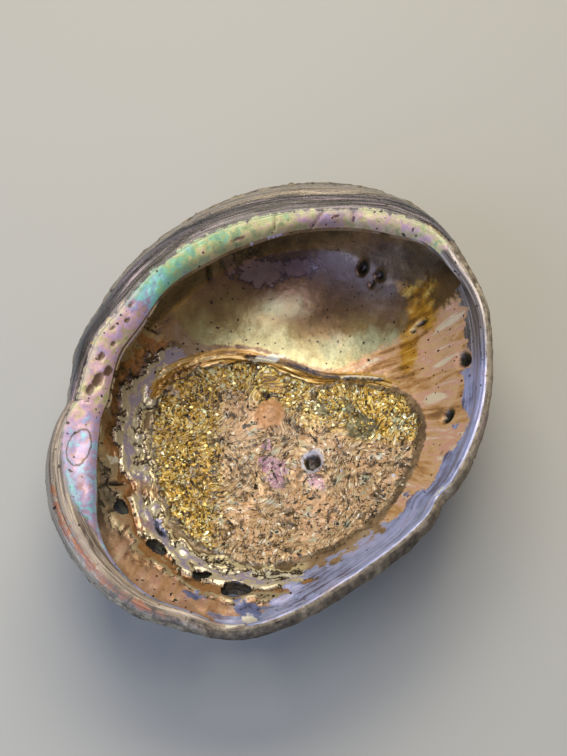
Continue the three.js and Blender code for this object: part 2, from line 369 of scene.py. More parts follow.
# %% The rim's section
def rim_points(bearing):
    """Nine points from the top of the bowl's wall, under and over the rim, to the outline."""
    share, crest = shelf_share(bearing), crest_height(bearing) - WORN
    width, inset = around(SHELF_WIDTH, bearing), around(CREST_INSET, bearing)
    edge, lip = crest - lerp(0.7, 3.2, share), lerp(2.2, 4.6, share)
    under = np.maximum(9.5, width * 0.5)

    def at(from_outline, height):
        r = outline(bearing) + departure(bearing) - from_outline
        return np.stack([r * np.cos(np.radians(bearing)), r * np.sin(np.radians(bearing)), height + 0 * r], -1)

    return np.stack(
        [
            inside(bearing, wall_top(bearing)),
            at(lerp(5.2, under, share), lerp(edge - 7.5, edge - lip - 8, share)),
            at(lerp(5.0, width - 4.5, share), edge - lip - lerp(1.6, 1.2, share)),
            at(width - 0.3, edge - lip * 0.55),
            at(width - 1.3, edge - 0.2),
            at(lerp(inset, width, 0.5), lerp(crest, edge, 0.42)),
            at(inset, crest),
            at(inset * 0.42, crest - 0.9 - 0.08 * inset),
            outside(bearing, np.ones_like(bearing)),
        ],
        -2,
    )


# %% [markdown]
# ## Rings of points
# The surface is made of rings, one inside the next: out across the floor, up the wall, over the rim, and back
# in under the shell. Growth lines and scars a millimetre wide need points under a millimetre apart, so there
# are 576 round the rim. Near the middle the same number would crowd together, so a ring that is half as long
# has half as many points, and the band between the two is filled with triangles.

# %% Sections at every bearing
ROUND = 576
FLOOR_RINGS, BACK_RINGS = 112, 64
FINE = 260  # places at which a section is read before its points are spread evenly
RIM_RINGS = [(0.0, 0.375, 14), (0.375, 0.5, 7), (0.5, 0.75, 15), (0.75, 1.0, 15)]  # from, to, rings
STEP = 0.85  # the aim for the space between points inside, in mm
BACK_STEP = 1.6


def even(points, count):
    """Each section (rows) read again at even distances along it."""
    lengths = np.cumsum(np.linalg.norm(np.diff(points, axis=1), axis=-1), axis=1)
    lengths = np.concatenate([np.zeros((len(points), 1)), lengths], 1)
    out = np.empty((len(points), count + 1, 3))
    for k, (row, along) in enumerate(zip(points, lengths)):
        wanted = np.linspace(0, along[-1], count + 1)
        out[k] = np.stack([np.interp(wanted, along, row[:, axis]) for axis in range(3)], -1)
    return out


bearings = np.arange(ROUND) * 360 / ROUND
fine = np.linspace(0, 1, FINE)
turn, across = np.meshgrid(bearings, fine, indexing="ij")
pieces = [even(inside(turn, across * wall_top(turn)), FLOOR_RINGS)[:, :-1]]
rim = rim_points(bearings)
for start, stop, count in RIM_RINGS:
    pieces.append(even(through(rim, np.linspace(start, stop, 60)), count)[:, :-1])
pieces.append(even(outside(turn, 1 - across), BACK_RINGS))
sections = np.concatenate(pieces, 1)

# the joint between bowl and rim is a growth line on the real shell, softened by later nacre
JOINT = FLOOR_RINGS
SMOOTHINGS = 6
for _ in range(SMOOTHINGS):
    near = slice(JOINT - 5, JOINT + 6)
    wider = sections[:, JOINT - 6 : JOINT + 7]
    sections[:, near] = (wider[:, :-2] + 2 * wider[:, 1:-1] + wider[:, 2:]) / 4

low, high = sections.reshape(-1, 3).min(0), sections.reshape(-1, 3).max(0)
sections += (CAD_LOW + CAD_HIGH) / 2 * (1, 1, 0) - (low + high) / 2 * (1, 1, 0) + (0, 0, CAD_LOW[2] - low[2])
print("sections:", sections.shape, "size in mm:", (high - low).round(1))

# %% [markdown]
# ## Where things are on the surface
# Finishes and relief both need to know where they are: how far from the crest of the rim, how far inside the
# scar, on the shelf or under it. Each of these is worked out once for every point and stored on the mesh as a
# named attribute. Geometry Nodes reads them to raise the relief and the material reads the same ones for its
# colours, so the two always fit. Distances are kept in mm, because a little noise added to a distance, before
# it is cut off, gives a ragged edge instead of a soft one.

# %% Distances and zones
counts = [count for _, _, count in RIM_RINGS]
EDGE = FLOOR_RINGS + counts[0] + counts[1]  # the ring along the shelf's inner edge
CREST = EDGE + counts[2]  # the ring that runs along the crest
OUTLINE = CREST + counts[3]  # the ring along the outline
FAR = -50.0  # a distance for "nowhere near"

bearing = np.repeat(bearings[:, None], sections.shape[1], 1)
ring = np.repeat(np.arange(sections.shape[1])[None, :], ROUND, 0)
run = np.concatenate([np.zeros((ROUND, 1)), np.cumsum(np.linalg.norm(np.diff(sections, axis=1), axis=-1), 1)], 1)
inward = run[:, CREST : CREST + 1] - run  # from the crest: positive into the bowl, negative over the outside
x, y, z = np.moveaxis(sections, -1, 0)
share = shelf_share(bearing)
indoors = ring < EDGE - 3
to_scar = inside_scar(x, y)
scar_turn = np.degrees(np.arctan2(y - SCAR_CENTRE[1], x - SCAR_CENTRE[0]))
turn = np.radians(bearing)
RIM_REACH = 70.0  # a usual distance from the middle to the rim, which turns bearings into mm


def stretch(start, rise, fall, end):
    """1 over a range of bearings and 0 outside it, with smooth ends. start may be below 0."""
    b = (bearing - start) % 360
    return smooth(b, 0, rise - start) * (1 - smooth(b, fall - start, end - start))


def blots(spots):
    """How far inside the nearest of these round or oval spots (x, y, half length, half width, turn), in mm."""
    best = np.full(x.shape, FAR)
    for px, py, half_long, half_wide, tilt in spots:
        c, s = math.cos(math.radians(tilt)), math.sin(math.radians(tilt))
        along, beside = (x - px) * c + (y - py) * s, (y - py) * c - (x - px) * s
        within = (1 - np.hypot(along / half_long, beside / half_wide)) * min(half_long, half_wide)
        best = np.maximum(best, within)
    return np.where(indoors, best, FAR)


def rim_blots(spots):
    """The same on the rim, for spots given by bearing and distance in from the crest."""
    best = np.full(x.shape, FAR)
    for at, depth, half_long, half_wide in spots:
        along = np.radians((bearing - at + 180) % 360 - 180) * RIM_REACH
        within = (1 - np.hypot(along / half_long, (inward - depth) / half_wide)) * min(half_long, half_wide)
        best = np.maximum(best, within)
    return np.where((ring >= EDGE - 3) & (ring <= OUTLINE), best, FAR)


def rim_lines_at(cracks):
    """How close the nearest of these cracks across the rim is, in mm, as a negative distance."""
    best = np.full(x.shape, FAR)
    for at, lean, start, stop in cracks:
        along = np.radians((bearing - at - lean * inward + 180) % 360 - 180) * RIM_REACH
        reach_of_it = smooth(inward, start - 0.5, start + 0.5) * (1 - smooth(inward, stop - 0.5, stop + 0.5))
        best = np.maximum(best, np.where(reach_of_it > 0, -np.abs(along) - 2 * (1 - reach_of_it), FAR))
    return np.where((ring >= EDGE - 3) & (ring <= OUTLINE), best, FAR)


# %% [markdown]
# The old shell has marks that growth doesn't explain: holes bored by worms and sponges, knobs of nacre laid
# over them, a dark stain under the shelf. They are few, so each is listed.

# %% Marks in the bowl and on the rim
HOLLOWS = [  # x, y, half length, half width, turn, depth
    (-4.5, -16.6, 3.8, 3.0, 20, 2.0),
    (75.5, 0.9, 2.3, 1.9, 30, 2.6),
    (74.6, -6.6, 2.4, 1.5, 70, 1.8),
    (71.6, -5.0, 1.4, 0.9, 20, 1.4),
    (60.5, -31.0, 2.6, 1.4, 120, 1.2),
    (57.5, -29.0, 1.4, 1.0, 100, 1.2),
    (20.9, -15.2, 1.7, 1.3, 0, 1.6),
    (14.8, 13.1, 2.0, 1.3, 50, 1.4),
    (43.5, -53.4, 4.2, 1.9, 35, 2.2),
    (22.5, -56.6, 3.6, 1.9, 10, 2.0),
    (6.9, -60.6, 1.2, 0.7, 0, 1.2),
    (43.3, 52.0, 1.5, 1.2, 0, 1.4),
    (34.1, -12.0, 1.4, 0.7, 60, 1.2),
    (-58.0, 17.0, 3.0, 1.4, 60, 1.2),
    (-50.5, 39.0, 5.0, 1.2, 140, 1.8),
]
KNOBS = [  # the same, with a height
    (8.0, 7.6, 6.4, 5.6, 0, 1.9), (-22.0, 27.0, 5.5, 4.0, 30, 0.9), (-33.0, 6.0, 6.0, 5.0, 0, 0.9),
]
SPOTS = {  # x, y, half length, half width, turn
    "pink": [
        (-12.5, -4.5, 6.0, 4.6, 60), (-17.0, -8.0, 5.0, 4.0, 30), (-12.0, -22.0, 4.5, 2.6, 70),
        (-5.0, 2.0, 2.6, 1.8, 0),
    ],
    "green": [(15.0, -27.5, 6.6, 5.0, 70), (18.5, -10.5, 5.4, 3.0, 100), (22.0, -19.0, 3.0, 2.4, 0)],
    "pale": [
        (24.6, -3.1, 1.5, 0.9, 20), (4.0, -38.4, 2.0, 0.9, 100), (30.0, 20.0, 6.0, 1.6, 120),
        (-42.0, 44.0, 2.4, 1.4, 140), (-77.5, -30.0, 3.0, 1.8, 60),
    ],
    "sheen": [(50.0, -13.0, 15.0, 5.5, 110), (45.0, -2.0, 8.0, 4.0, 90), (51.0, 25.0, 7.0, 3.5, 120)],
    "stain": [(58.0, 36.5, 11.0, 4.6, 125), (66.5, 25.0, 7.5, 3.4, 115), (51.0, 48.0, 4.0, 2.4, 130)],
    "rust": [
        (-47.0, 32.5, 7.0, 3.4, 125), (-60.0, 24.0, 5.0, 2.6, 120), (-75.0, 16.0, 7.0, 3.0, 110),
        (-76.5, -15.0, 5.0, 2.4, 100),
    ],
    "blue": [(-73.5, -26.5, 5.5, 3.6, 80), (-76.5, -8.0, 3.0, 1.6, 90), (-57.0, 17.5, 3.6, 2.0, 60)],
    "amber": [
        (50.0, -30.5, 11.0, 3.4, 25), (63.0, -30.0, 8.0, 3.6, 55), (73.0, -20.0, 10.0, 2.8, 70),
        (-66.0, 21.0, 5.0, 3.0, 120),
    ],
}
SPOTS["hollow"] = [spot[:5] for spot in HOLLOWS]
RIM_SPOTS = {  # bearing, in from the crest, half length, half width
    "band_pits": [
        (118, 6.0, 3.4, 1.8), (114, 8.5, 2.6, 1.5), (110, 4.5, 1.8, 1.1), (104, 6.5, 1.5, 1.0),
        (99, 3.0, 1.8, 0.8), (94, 5.0, 1.3, 0.9), (88, 2.6, 1.6, 0.7), (122, 4.0, 2.2, 1.6), (9, 3.0, 1.0, 0.7),
        (41, 6.0, 2.4, 0.7),
    ],
    "ember": [
        (166, -1.0, 14.0, 1.1), (152, -1.8, 8.0, 0.8), (181, -0.6, 6.0, 0.9), (197, 3.5, 5.0, 1.4),
        (206, 4.2, 6.0, 1.2),
    ],
    "pale": [(198.5, 3.0, 3.4, 1.7), (258.5, 2.6, 2.4, 1.3)],
    "hollow": [(262.5, 4.6, 3.2, 1.5), (254.5, 5.4, 2.4, 1.3), (203.0, 4.2, 2.8, 0.9)],
    "seal": [(139, 8.0, 6.0, 4.2)],  # a bored hole that the animal sealed with fresh nacre
}
# bearing, lean, and from where to where across the rim, in mm from the crest
BAND_CRACKS = [(27, 0.1, 0.0, 7.0), (12, 0.5, 0.0, 8.0), (5, -0.3, -1.0, 6.0), (125, 0.1, -6.0, 6.0)]

# %% Widths and hues round the rim
# bearing, and how far each finish reaches in from the crest, in mm
LIP_WIDTH = [(0, 5), (178, 9), (200, 19), (222, 26), (246, 23), (262, 18), (285, 16), (310, 14), (330, 13), (345, 9)]
LOBE_WIDTH = [
    (0, -9), (112, -9), (126, -1), (140, 2), (152, 4), (160, 7), (168, 11), (182, 14), (196, 9), (206, -6),
    (216, -9), (345, -9),
]
# bearing, and where the shelf's colour stands in its turn of hues, from 0 to 1
NACRE_HUE = [
    (0, 0.86), (6, 0.97), (12, 1.0), (17, 0.88), (24, 0.78), (34, 0.74), (48, 0.68), (60, 0.62), (70, 0.5),
    (78, 0.4), (85, 0.24), (92, 0.04), (104, -0.03), (114, 0.02), (122, -0.1), (130, 0.02), (142, 0.16),
    (158, 0.2), (175, 0.2), (345, 0.84),
]

# %% Zones for every point
fields = {
    "scar": np.where(indoors, to_scar, FAR),
    "lip": np.where(ring <= CREST, around(LIP_WIDTH, bearing) - inward, FAR) * 1.0,
    "channel": np.where(indoors, 1 - smooth(to_scar, -1, 2), 0) * stretch(70, 92, 208, 228),
    "ridge": np.where(indoors, smooth(-to_scar, -1.5, 1.5) * (1 - smooth(-to_scar, 4, 9)), 0)
    * smooth(scar_turn, -52, -8) * (1 - smooth(scar_turn, 72, 108)),
    "basin": np.where(indoors, smooth(-to_scar, 4, 12), 0) * stretch(-48, -30, 62, 80),
    "peach": np.where(indoors, smooth(-to_scar, 0, 5), 0) * stretch(232, 256, 318, 336),
    # under: the wall beneath the shelf, darkened more the higher it lies: painted shade under the shelf
    "under": np.where(ring < EDGE + 1, smooth(z, 14, 34), 0) * share,
    "band": np.where((ring >= EDGE - 2) & (ring <= CREST), 1.0, 0) * share,
    "shoulder": smooth(ring, CREST - 3, CREST + 1) * (1 - smooth(ring, OUTLINE - 1, OUTLINE + 1)) * share,
    "outer": np.maximum(smooth(ring, OUTLINE - 4, OUTLINE), smooth(ring, CREST - 7, CREST - 2) * (1 - share)),
    "lobe": np.where(ring > EDGE, around(LOBE_WIDTH, bearing) - inward, FAR) * 1.0,
    "hue": around(NACRE_HUE, bearing),
    "from_ridge": np.clip((-to_scar - 4) / 46, 0, 1),
    "gray_lip": stretch(-66, -44, 14, 26),
    "front": stretch(150, 170, 224, 238),
    "beyond": np.where((share > 0.5) & (ring <= OUTLINE + 6), -inward, FAR),
    # band_low: the inner part of the shelf band, which is darkened as painted shade
    "band_low": smooth(inward / (around(SHELF_WIDTH, bearing) - around(CREST_INSET, bearing) + 1), 0.35, 0.75)
    * stretch(-25, -5, 60, 80),
    "split": np.where(
        indoors,
        -np.abs(to_scar + 4.4 + 1.2 * np.sin(scar_turn / 9)) - 6 * (
            1 - smooth(scar_turn, -32, -24) * (1 - smooth(scar_turn, 40, 52))
        ),
        FAR,
    ),
    "gold": np.maximum(smooth(x, -2, 22), smooth(0.89 * y - 0.45 * x, 12, 30)),
    "band_lines": rim_lines_at(BAND_CRACKS),
    "sink": np.zeros_like(x),
}
for name in {**SPOTS, **RIM_SPOTS}:
    fields[name] = np.maximum(blots(SPOTS.get(name, [])), rim_blots(RIM_SPOTS.get(name, [])))
for *spot, depth in HOLLOWS:
    fields["sink"] -= depth * smooth(blots([spot]), -0.6, 1.6)
for *spot, height in KNOBS:
    fields["sink"] += height * smooth(blots([spot]), -1.0, 4.5)
fields["knob"], fields["pit"] = blots([KNOBS[0][:5]]), blots([HOLLOWS[0][:5]])
print("zones:", ", ".join(fields))

vectors = {
    "rest": sections,
    "rim_flow": np.stack([RIM_REACH * np.cos(turn), RIM_REACH * np.sin(turn), inward], -1),
    "scar_flow": np.stack(
        [SCAR_RADIUS * np.cos(np.radians(scar_turn)), SCAR_RADIUS * np.sin(np.radians(scar_turn)), to_scar], -1
    ),
}

# %% [markdown]
# On the outside the growth lines and the spiral cords come from the growth itself. The shell was the same
# shape at every age, only smaller and turned back round the spire. So each place on the back is grown forward
# in small steps, turning and swelling about the spire, until it reaches the rim: the number of steps is its
# age, and the bearing where it arrives tells which cord it lies on.

# %% Age and cord on the back
SWELL = 0.42  # growth of the radius for each radian of turn
OLDEST, AGE_STEPS = 7.5, 240  # radians of growth, and the steps it is followed in
AGES = np.linspace(0, OLDEST, AGE_STEPS)
outer_x, outer_y = x - SPIRE_CENTRE[0], y - SPIRE_CENTRE[1]
age, cord = np.full(x.shape, AGES[-1]), np.zeros(x.shape)
waiting = ring > CREST
for step in AGES:
    c, s, grown = math.cos(step), math.sin(step), math.exp(SWELL * step)
    gx = SPIRE_CENTRE[0] + grown * (outer_x * c - outer_y * s)
    gy = SPIRE_CENTRE[1] + grown * (outer_x * s + outer_y * c)
    where = np.degrees(np.arctan2(gy, gx)) % 360
    arrived = waiting & (np.hypot(gx, gy) > (outline(where) + departure(where)) * 0.995)
    age[arrived], cord[arrived] = step, where[arrived]
    waiting &= ~arrived
fields["age"], fields["cord"] = np.where(ring > CREST, age, 0), cord
AGE_REACH = 30.0  # mm of growth at the rim for each radian
cord_turn = np.radians(cord)
vectors["growth"] = np.stack(
    [RIM_REACH * np.cos(cord_turn), RIM_REACH * np.sin(cord_turn), AGE_REACH * fields["age"]], -1
)
print("oldest part of the back:", round(float(age[ring > CREST].max()), 2), "radians of growth ago")

# %% Rings into a mesh
reach = np.hypot(x - x[:, :1], y - y[:, :1]).mean(0)
strides = []
for j in range(sections.shape[1]):
    aim_step = BACK_STEP if j > OUTLINE + 2 else STEP
    wanted = aim_step * ROUND / max(2 * math.pi * reach[j], 0.5)
    strides.append(int(np.clip(2 ** int(math.log2(max(wanted, 1))), 1, 32)))
middle = sections.shape[1] - 1
back_reach = np.hypot(x - x[:, -1:], y - y[:, -1:]).mean(0)
for j in range(OUTLINE + 3, middle):
    wanted = BACK_STEP * ROUND / max(2 * math.pi * back_reach[j], 0.5)
    strides[j] = int(np.clip(2 ** int(math.log2(max(wanted, 1))), 1, 32))
for j in range(1, middle):  # never more than a doubling from one ring to the next
    strides[j] = max(strides[j], strides[j - 1] // 2) if j <= OUTLINE else min(strides[j], strides[j - 1] * 2)

starts, picked = [0], [(0, 0)]
for j in range(1, middle):
    starts.append(len(picked))
    picked += [(i, j) for i in range(0, ROUND, strides[j])]
starts.append(len(picked))
picked.append((0, middle))

faces = []
for j in range(middle):
    here = 1 if j == 0 else ROUND // strides[j]
    there = 1 if j + 1 == middle else ROUND // strides[j + 1]
    a, b = starts[j], starts[j + 1]
    for k in range(max(here, there)):
        if here == 1:
            faces.append((a, b + k, b + (k + 1) % there))
        elif there == 1:
            faces.append((a + k, b, a + (k + 1) % here))
        elif here == there:
            faces.append((a + k, b + k, b + (k + 1) % there, a + (k + 1) % here))
        elif there == 2 * here:
            if k < here:
                n = (k + 1) % here
                b0, b1, b2 = b + 2 * k, b + 2 * k + 1, b + (2 * k + 2) % there
                faces += [(a + k, b0, b1), (a + k, b1, a + n), (a + n, b1, b2)]
        elif k < there:
            n = (k + 1) % there
            a0, a1, a2 = a + 2 * k, a + 2 * k + 1, a + (2 * k + 2) % here
            faces += [(a0, b + k, a1), (a1, b + k, b + n), (a1, b + n, a2)]

pick_i, pick_j = np.array(picked).T
points = sections[pick_i, pick_j]
mesh = bpy.data.meshes.new("abalone_shell_nacre")
mesh.from_pydata(points * MM, [], faces)
for name, values in fields.items():
    mesh.attributes.new(name, "FLOAT", "POINT").data.foreach_set("value", values[pick_i, pick_j].astype(np.float32))
for name, values in vectors.items():
    flat = values[pick_i, pick_j].astype(np.float32).ravel()
    mesh.attributes.new(name, "FLOAT_VECTOR", "POINT").data.foreach_set("vector", flat)
mesh.shade_smooth()
shell = collect("shell_of_nacre", mesh)

work = bmesh.new()
work.from_mesh(mesh)
if work.calc_volume(signed=True) < 0:
    bmesh.ops.reverse_faces(work, faces=work.faces)
    work.to_mesh(mesh)
loose = [e for e in work.edges if len(e.link_faces) != 2]
print(
    "points:", len(points), "faces:", len(faces), "volume in cm3:", round(abs(work.calc_volume()) * 1e6, 1),
    "open edges:", len(loose),
)
work.free()

# %% [markdown]
# ## Relief
# Old nacre isn't smooth. The muscle scar is a crust of grains, the channel beside it is worn down in steps
# like a map's contours, and the outside carries spiral cords crossed by growth steps. All of it follows the
# surface, so a Geometry Nodes tree moves each point along its normal by a height made from noise, masked by
# the zones above. The tree's inputs are the heights in mm, so each relief can be turned up or down by itself.

# %% Helpers for trees
def new_tree(name, **sizes):
    """A Geometry Nodes tree with a geometry input and output and one named input for each size."""
    tree = bpy.data.node_groups.new(name, "GeometryNodeTree")
    tree.interface.new_socket(name="Geometry", in_out="INPUT", socket_type="NodeSocketGeometry")
    for key, value in sizes.items():
        socket = tree.interface.new_socket(name=key, in_out="INPUT", socket_type="NodeSocketFloat")
        socket.default_value = value
    tree.interface.new_socket(name="Geometry", in_out="OUTPUT", socket_type="NodeSocketGeometry")
    start = tree.nodes.new("NodeGroupInput")
    return tree, start.outputs


def read(items, field, width=1, kind=np.float32):
    """One field of all of a mesh's points, corners or faces, as an array."""
    values = np.empty(len(items) * width, kind)
    items.foreach_get(field, values)
    return values


def run_tree(thing, tree, **sizes):
    """Runs a finished tree on an object with these sizes and keeps the result as a plain mesh."""
    modifier = thing.modifiers.new(tree.name, "NODES")
    modifier.node_group = tree
    for item in tree.interface.items_tree:
        if item.in_out == "INPUT" and item.name in sizes:
            modifier[item.identifier] = float(sizes[item.name])
    graph = bpy.context.evaluated_depsgraph_get()
    made = bpy.data.meshes.new_from_object(thing.evaluated_get(graph), preserve_all_data_layers=True, depsgraph=graph)
    thing.modifiers.remove(modifier)
    thing.data = made
    return made


def finish_tree(tree, geometry, material):
    """Realize Instances, Set Material and the output."""
    whole = add(tree, "GeometryNodeRealizeInstances", (geometry,))
    dressed = add(tree, "GeometryNodeSetMaterial", {"Geometry": whole, "Material": material})
    add(tree, "NodeGroupOutput", (dressed,))


STRIPS_WIDE = 26.0  # mm of worn strips beside the scar
STRIP_JAG = 24.0  # mm, how far their borders wander
STRIP_SCALE = (1 / 9, 1 / 9, 1 / 6)
STRIP_NOISE = {"Detail": 6.0, "Roughness": 0.62, "Distortion": 0.4}
STRIPS = [  # where a strip starts (1 is at the scar), its colour, its height from 0 to 1
    (0.0, "2b241b", 0.2), (0.14, "8f8069", 0.6), (0.26, "1a1510", 0.0), (0.31, "a3906f", 0.65),
    (0.41, "9c6a3c", 0.6), (0.52, "1e1812", 0.05), (0.56, "c4b595", 0.75), (0.66, "a89bb0", 0.9),
    (0.74, "ddd2b4", 0.85), (0.83, "241d16", 0.1), (0.88, "cbb88c", 0.7), (0.95, "6a5538", 0.4),
]
nacre = bpy.data.materials.new("polished_nacre")  # pale and glossy, with a play of colour
crust = bpy.data.materials.new("limy_crust")  # chalky and dull

# %% Relief tree
relief, size = new_tree(
    "shell_relief", grain=1.2, terrace=0.5, ridge=0.6, dimple=0.25, line=0.35, cord=0.9, growth=0.55, crust=0.6,
    wave=0.35,
)
here = {
    name: add(relief, ZONE, (name,))
    for name in ("scar", "channel", "ridge", "band", "shoulder", "outer", "lobe", "sink", "age", "cord",
                 "band_pits", "band_lines", "split")
}
place = add(relief, PLACE, ("rest",))
flow = add(relief, PLACE, ("rim_flow",))
scar_flow = add(relief, PLACE, ("scar_flow",))
broad = add(relief, NOISE, {"Vector": place, "Scale": 1 / 14, "Detail": 3.0})
medium = add(relief, NOISE, {"Vector": place, "Scale": 1 / 5, "Detail": 4.0, "Roughness": 0.6})
fine_noise = add(relief, NOISE, {"Vector": place, "Scale": 1 / 2.2, "Detail": 4.0, "Roughness": 0.7})

# %% Relief of the scar: its edge wanders, and its face is crumpled and pitted
wander = add(relief, TIMES, (add(relief, MINUS, (medium, 0.5)), 9.0))
scar_edge = add(relief, PLUS, (here["scar"], wander))
on_scar = add(relief, EASE, (scar_edge, -0.8, 0.8))
crumple = add(relief, TIMES, (add(relief, MINUS, (fine_noise, 0.52)), 3.2))
cells = add(relief, CELLS, {"Vector": place, "Scale": 1 / 3.4, "Randomness": 1.0})
pits = add(relief, RANGE, (cells, 0.05, 0.3, -0.5, 0.0))
grain_height = add(relief, TIMES, (add(relief, PLUS, (crumple, pits)), on_scar))
cracks = add(relief, NOISE, {"Vector": place, "Scale": 1 / 8, "Detail": 5.0, "Roughness": 0.6, "Distortion": 0.9})
cracks = add(relief, SIZE_OF, (add(relief, MINUS, (cracks, 0.5)),))
cracks = add(relief, RANGE, (cracks, 0.0, 0.025, -1.0, 0.0))
grain_height = add(relief, PLUS, (add(relief, TIMES, (cracks, on_scar)), grain_height))
height = add(relief, TIMES, (grain_height, size["grain"]))
swell = add(relief, TIMES, (add(relief, MINUS, (medium, 0.5)), on_scar))
height = add(relief, PLUS, (height, add(relief, TIMES, (swell, 2.4))))

# %% Relief of the channel: strips along the scar, each worn to a height of its own
beside_scar = add(relief, VECTOR_TIMES, (scar_flow, STRIP_SCALE))
jags = add(relief, NOISE, {"Vector": beside_scar, "Scale": 1.0, **STRIP_NOISE})
strip = roughen(relief, here["scar"], jags, STRIP_JAG)
strip = add(relief, RANGE, (strip, -STRIPS_WIDE, 0.0))
worn = add(relief, RAMP, (strip,), stops=[(at, (level, level, level, 1)) for at, _, level in STRIPS])
terraces = add(relief, TIMES, (add(relief, MINUS, (worn, 0.6)), 5.0))
in_channel = add(relief, TIMES, (terraces, here["channel"]))
height = add(relief, TIMES_PLUS, (in_channel, size["terrace"], height))

# %% Relief of the ridge along the scar: threads of nacre side by side
thread = add(
    relief, NOISE,
    {"Vector": add(relief, VECTOR_TIMES, (scar_flow, (0.05, 0.05, 0.55))), "Scale": 1.0, "Detail": 3.0},
)
threads = add(relief, TIMES, (add(relief, MINUS, (thread, 0.5)), here["ridge"]))
threads = add(relief, TIMES, (threads, 4.0))
height = add(relief, TIMES_PLUS, (threads, size["ridge"], height))
split = add(relief, EASE, (here["split"], -1.2, 0.0, 0.0, -1.1))
height = add(relief, PLUS, (split, height))

# %% Relief of the rim: dimples and pits on the shelf, lines along the shoulder and the lobe
dimples = add(relief, MINUS, (add(relief, PLUS, (broad, medium)), 1.0))
dimples = add(relief, TIMES, (dimples, here["band"]))
height = add(relief, TIMES_PLUS, (dimples, add(relief, TIMES, (size["dimple"], 5.0)), height))
pitted = add(relief, EASE, (here["band_pits"], -0.3, 0.8, 0.0, -0.4))
cracked = add(relief, EASE, (here["band_lines"], -0.9, 0.0, 0.0, -0.5))
height = add(relief, PLUS, (add(relief, PLUS, (pitted, cracked)), height))
rim_lines = add(
    relief, NOISE, {"Vector": add(relief, VECTOR_TIMES, (flow, (0.03, 0.03, 0.5))), "Scale": 1.0, "Detail": 3.0},
)
on_lobe = add(relief, EASE, (here["lobe"], -0.5, 1.5))
rim_zone = add(relief, LARGER, (here["shoulder"], on_lobe))
rim_lines = add(relief, TIMES, (add(relief, MINUS, (rim_lines, 0.5)), rim_zone))
height = add(relief, TIMES_PLUS, (rim_lines, add(relief, TIMES, (size["line"], 4.0)), height))

# %% Relief everywhere inside
# low waves, so that reflections break up as they do on a wall that was laid down bit by bit
waves = add(relief, TIMES, (add(relief, MINUS, (broad, 0.5)), 4.0))
indoor = add(relief, MINUS, (1.0, here["outer"]))
height = add(relief, TIMES_PLUS, (add(relief, TIMES, (waves, indoor)), size["wave"], height))
height = add(relief, PLUS, (height, here["sink"]))

# %% Relief of the outside: cords that spiral with growth, steps where it paused, and crust over both
cord_turn = add(relief, TIMES_PLUS, (broad, 5.0, add(relief, TIMES, (here["cord"], 2 * math.pi / 9.0))))
cord_wave = add(relief, TIMES, (add(relief, SINE, (cord_turn,)), broad))
from_rim = add(relief, EASE, (here["age"], 0.02, 0.35))
cord_wave = add(relief, TIMES, (cord_wave, from_rim))
age_wobble = add(relief, PLUS, (here["age"], add(relief, TIMES, (medium, 0.12))))
pause = add(relief, TIMES, (age_wobble, 9.0))
pause = add(relief, FRACTION, (pause,))
pause = add(relief, RANGE, (pause, 0.0, 1.0, -0.5, 0.5))
lumps = add(relief, CELLS, {"Vector": place, "Scale": 1 / 5.5}, feature="SMOOTH_F1")
lumps = add(relief, MINUS, (0.45, lumps))
lumps = add(relief, PLUS, (lumps, fine_noise))
back_height = add(relief, TIMES, (add(relief, MINUS, (lumps, 0.5)), size["crust"]))
back_height = add(relief, TIMES_PLUS, (cord_wave, size["cord"], back_height))
back_height = add(relief, TIMES_PLUS, (pause, size["growth"], back_height))
height = add(relief, TIMES_PLUS, (back_height, here["outer"], height))

# %% Move the points
stored = add(
    relief, "GeometryNodeStoreNamedAttribute", {"Geometry": size["Geometry"], "Name": "height", "Value": height},
    data_type="FLOAT",
)
offset = add(relief, SCALED, {0: add(relief, "GeometryNodeInputNormal"), "Scale": add(relief, TIMES, (height, MM))})
moved = add(relief, "GeometryNodeSetPosition", {"Geometry": stored, "Offset": offset})
finish_tree(relief, moved, nacre)
run_tree(shell, relief, grain=0.8, ridge=0.22, terrace=0.4, dimple=0.12, wave=0.22, cord=1.2, growth=0.9)
places = read(shell.data.vertices, "co", 3)
places[2::3] = np.maximum(places[2::3], CAD_LOW[2] * MM)  # the lowest point is worn flat where it stands
shell.data.vertices.foreach_set("co", places)
heights = read(shell.data.attributes["height"].data, "value")
print("relief in mm, from", round(float(heights.min()), 2), "to", round(float(heights.max()), 2))

# %% [markdown]
# ## The open holes
# Abalones breathe through a row of holes near the edge. The animal closes the old ones with nacre as it
# grows, and only the last few stay open. Each hole is cut with a pin: a tapered plug with an uneven outline,
# so that its edge looks grown and not drilled. A Boolean takes the pins away; the new walls then take their
# zone values from the nearest old points, because a cut point has none.

# %% Pins
rng = np.random.default_rng(7)
PIN_SIDES, PIN_RINGS = 28, 9


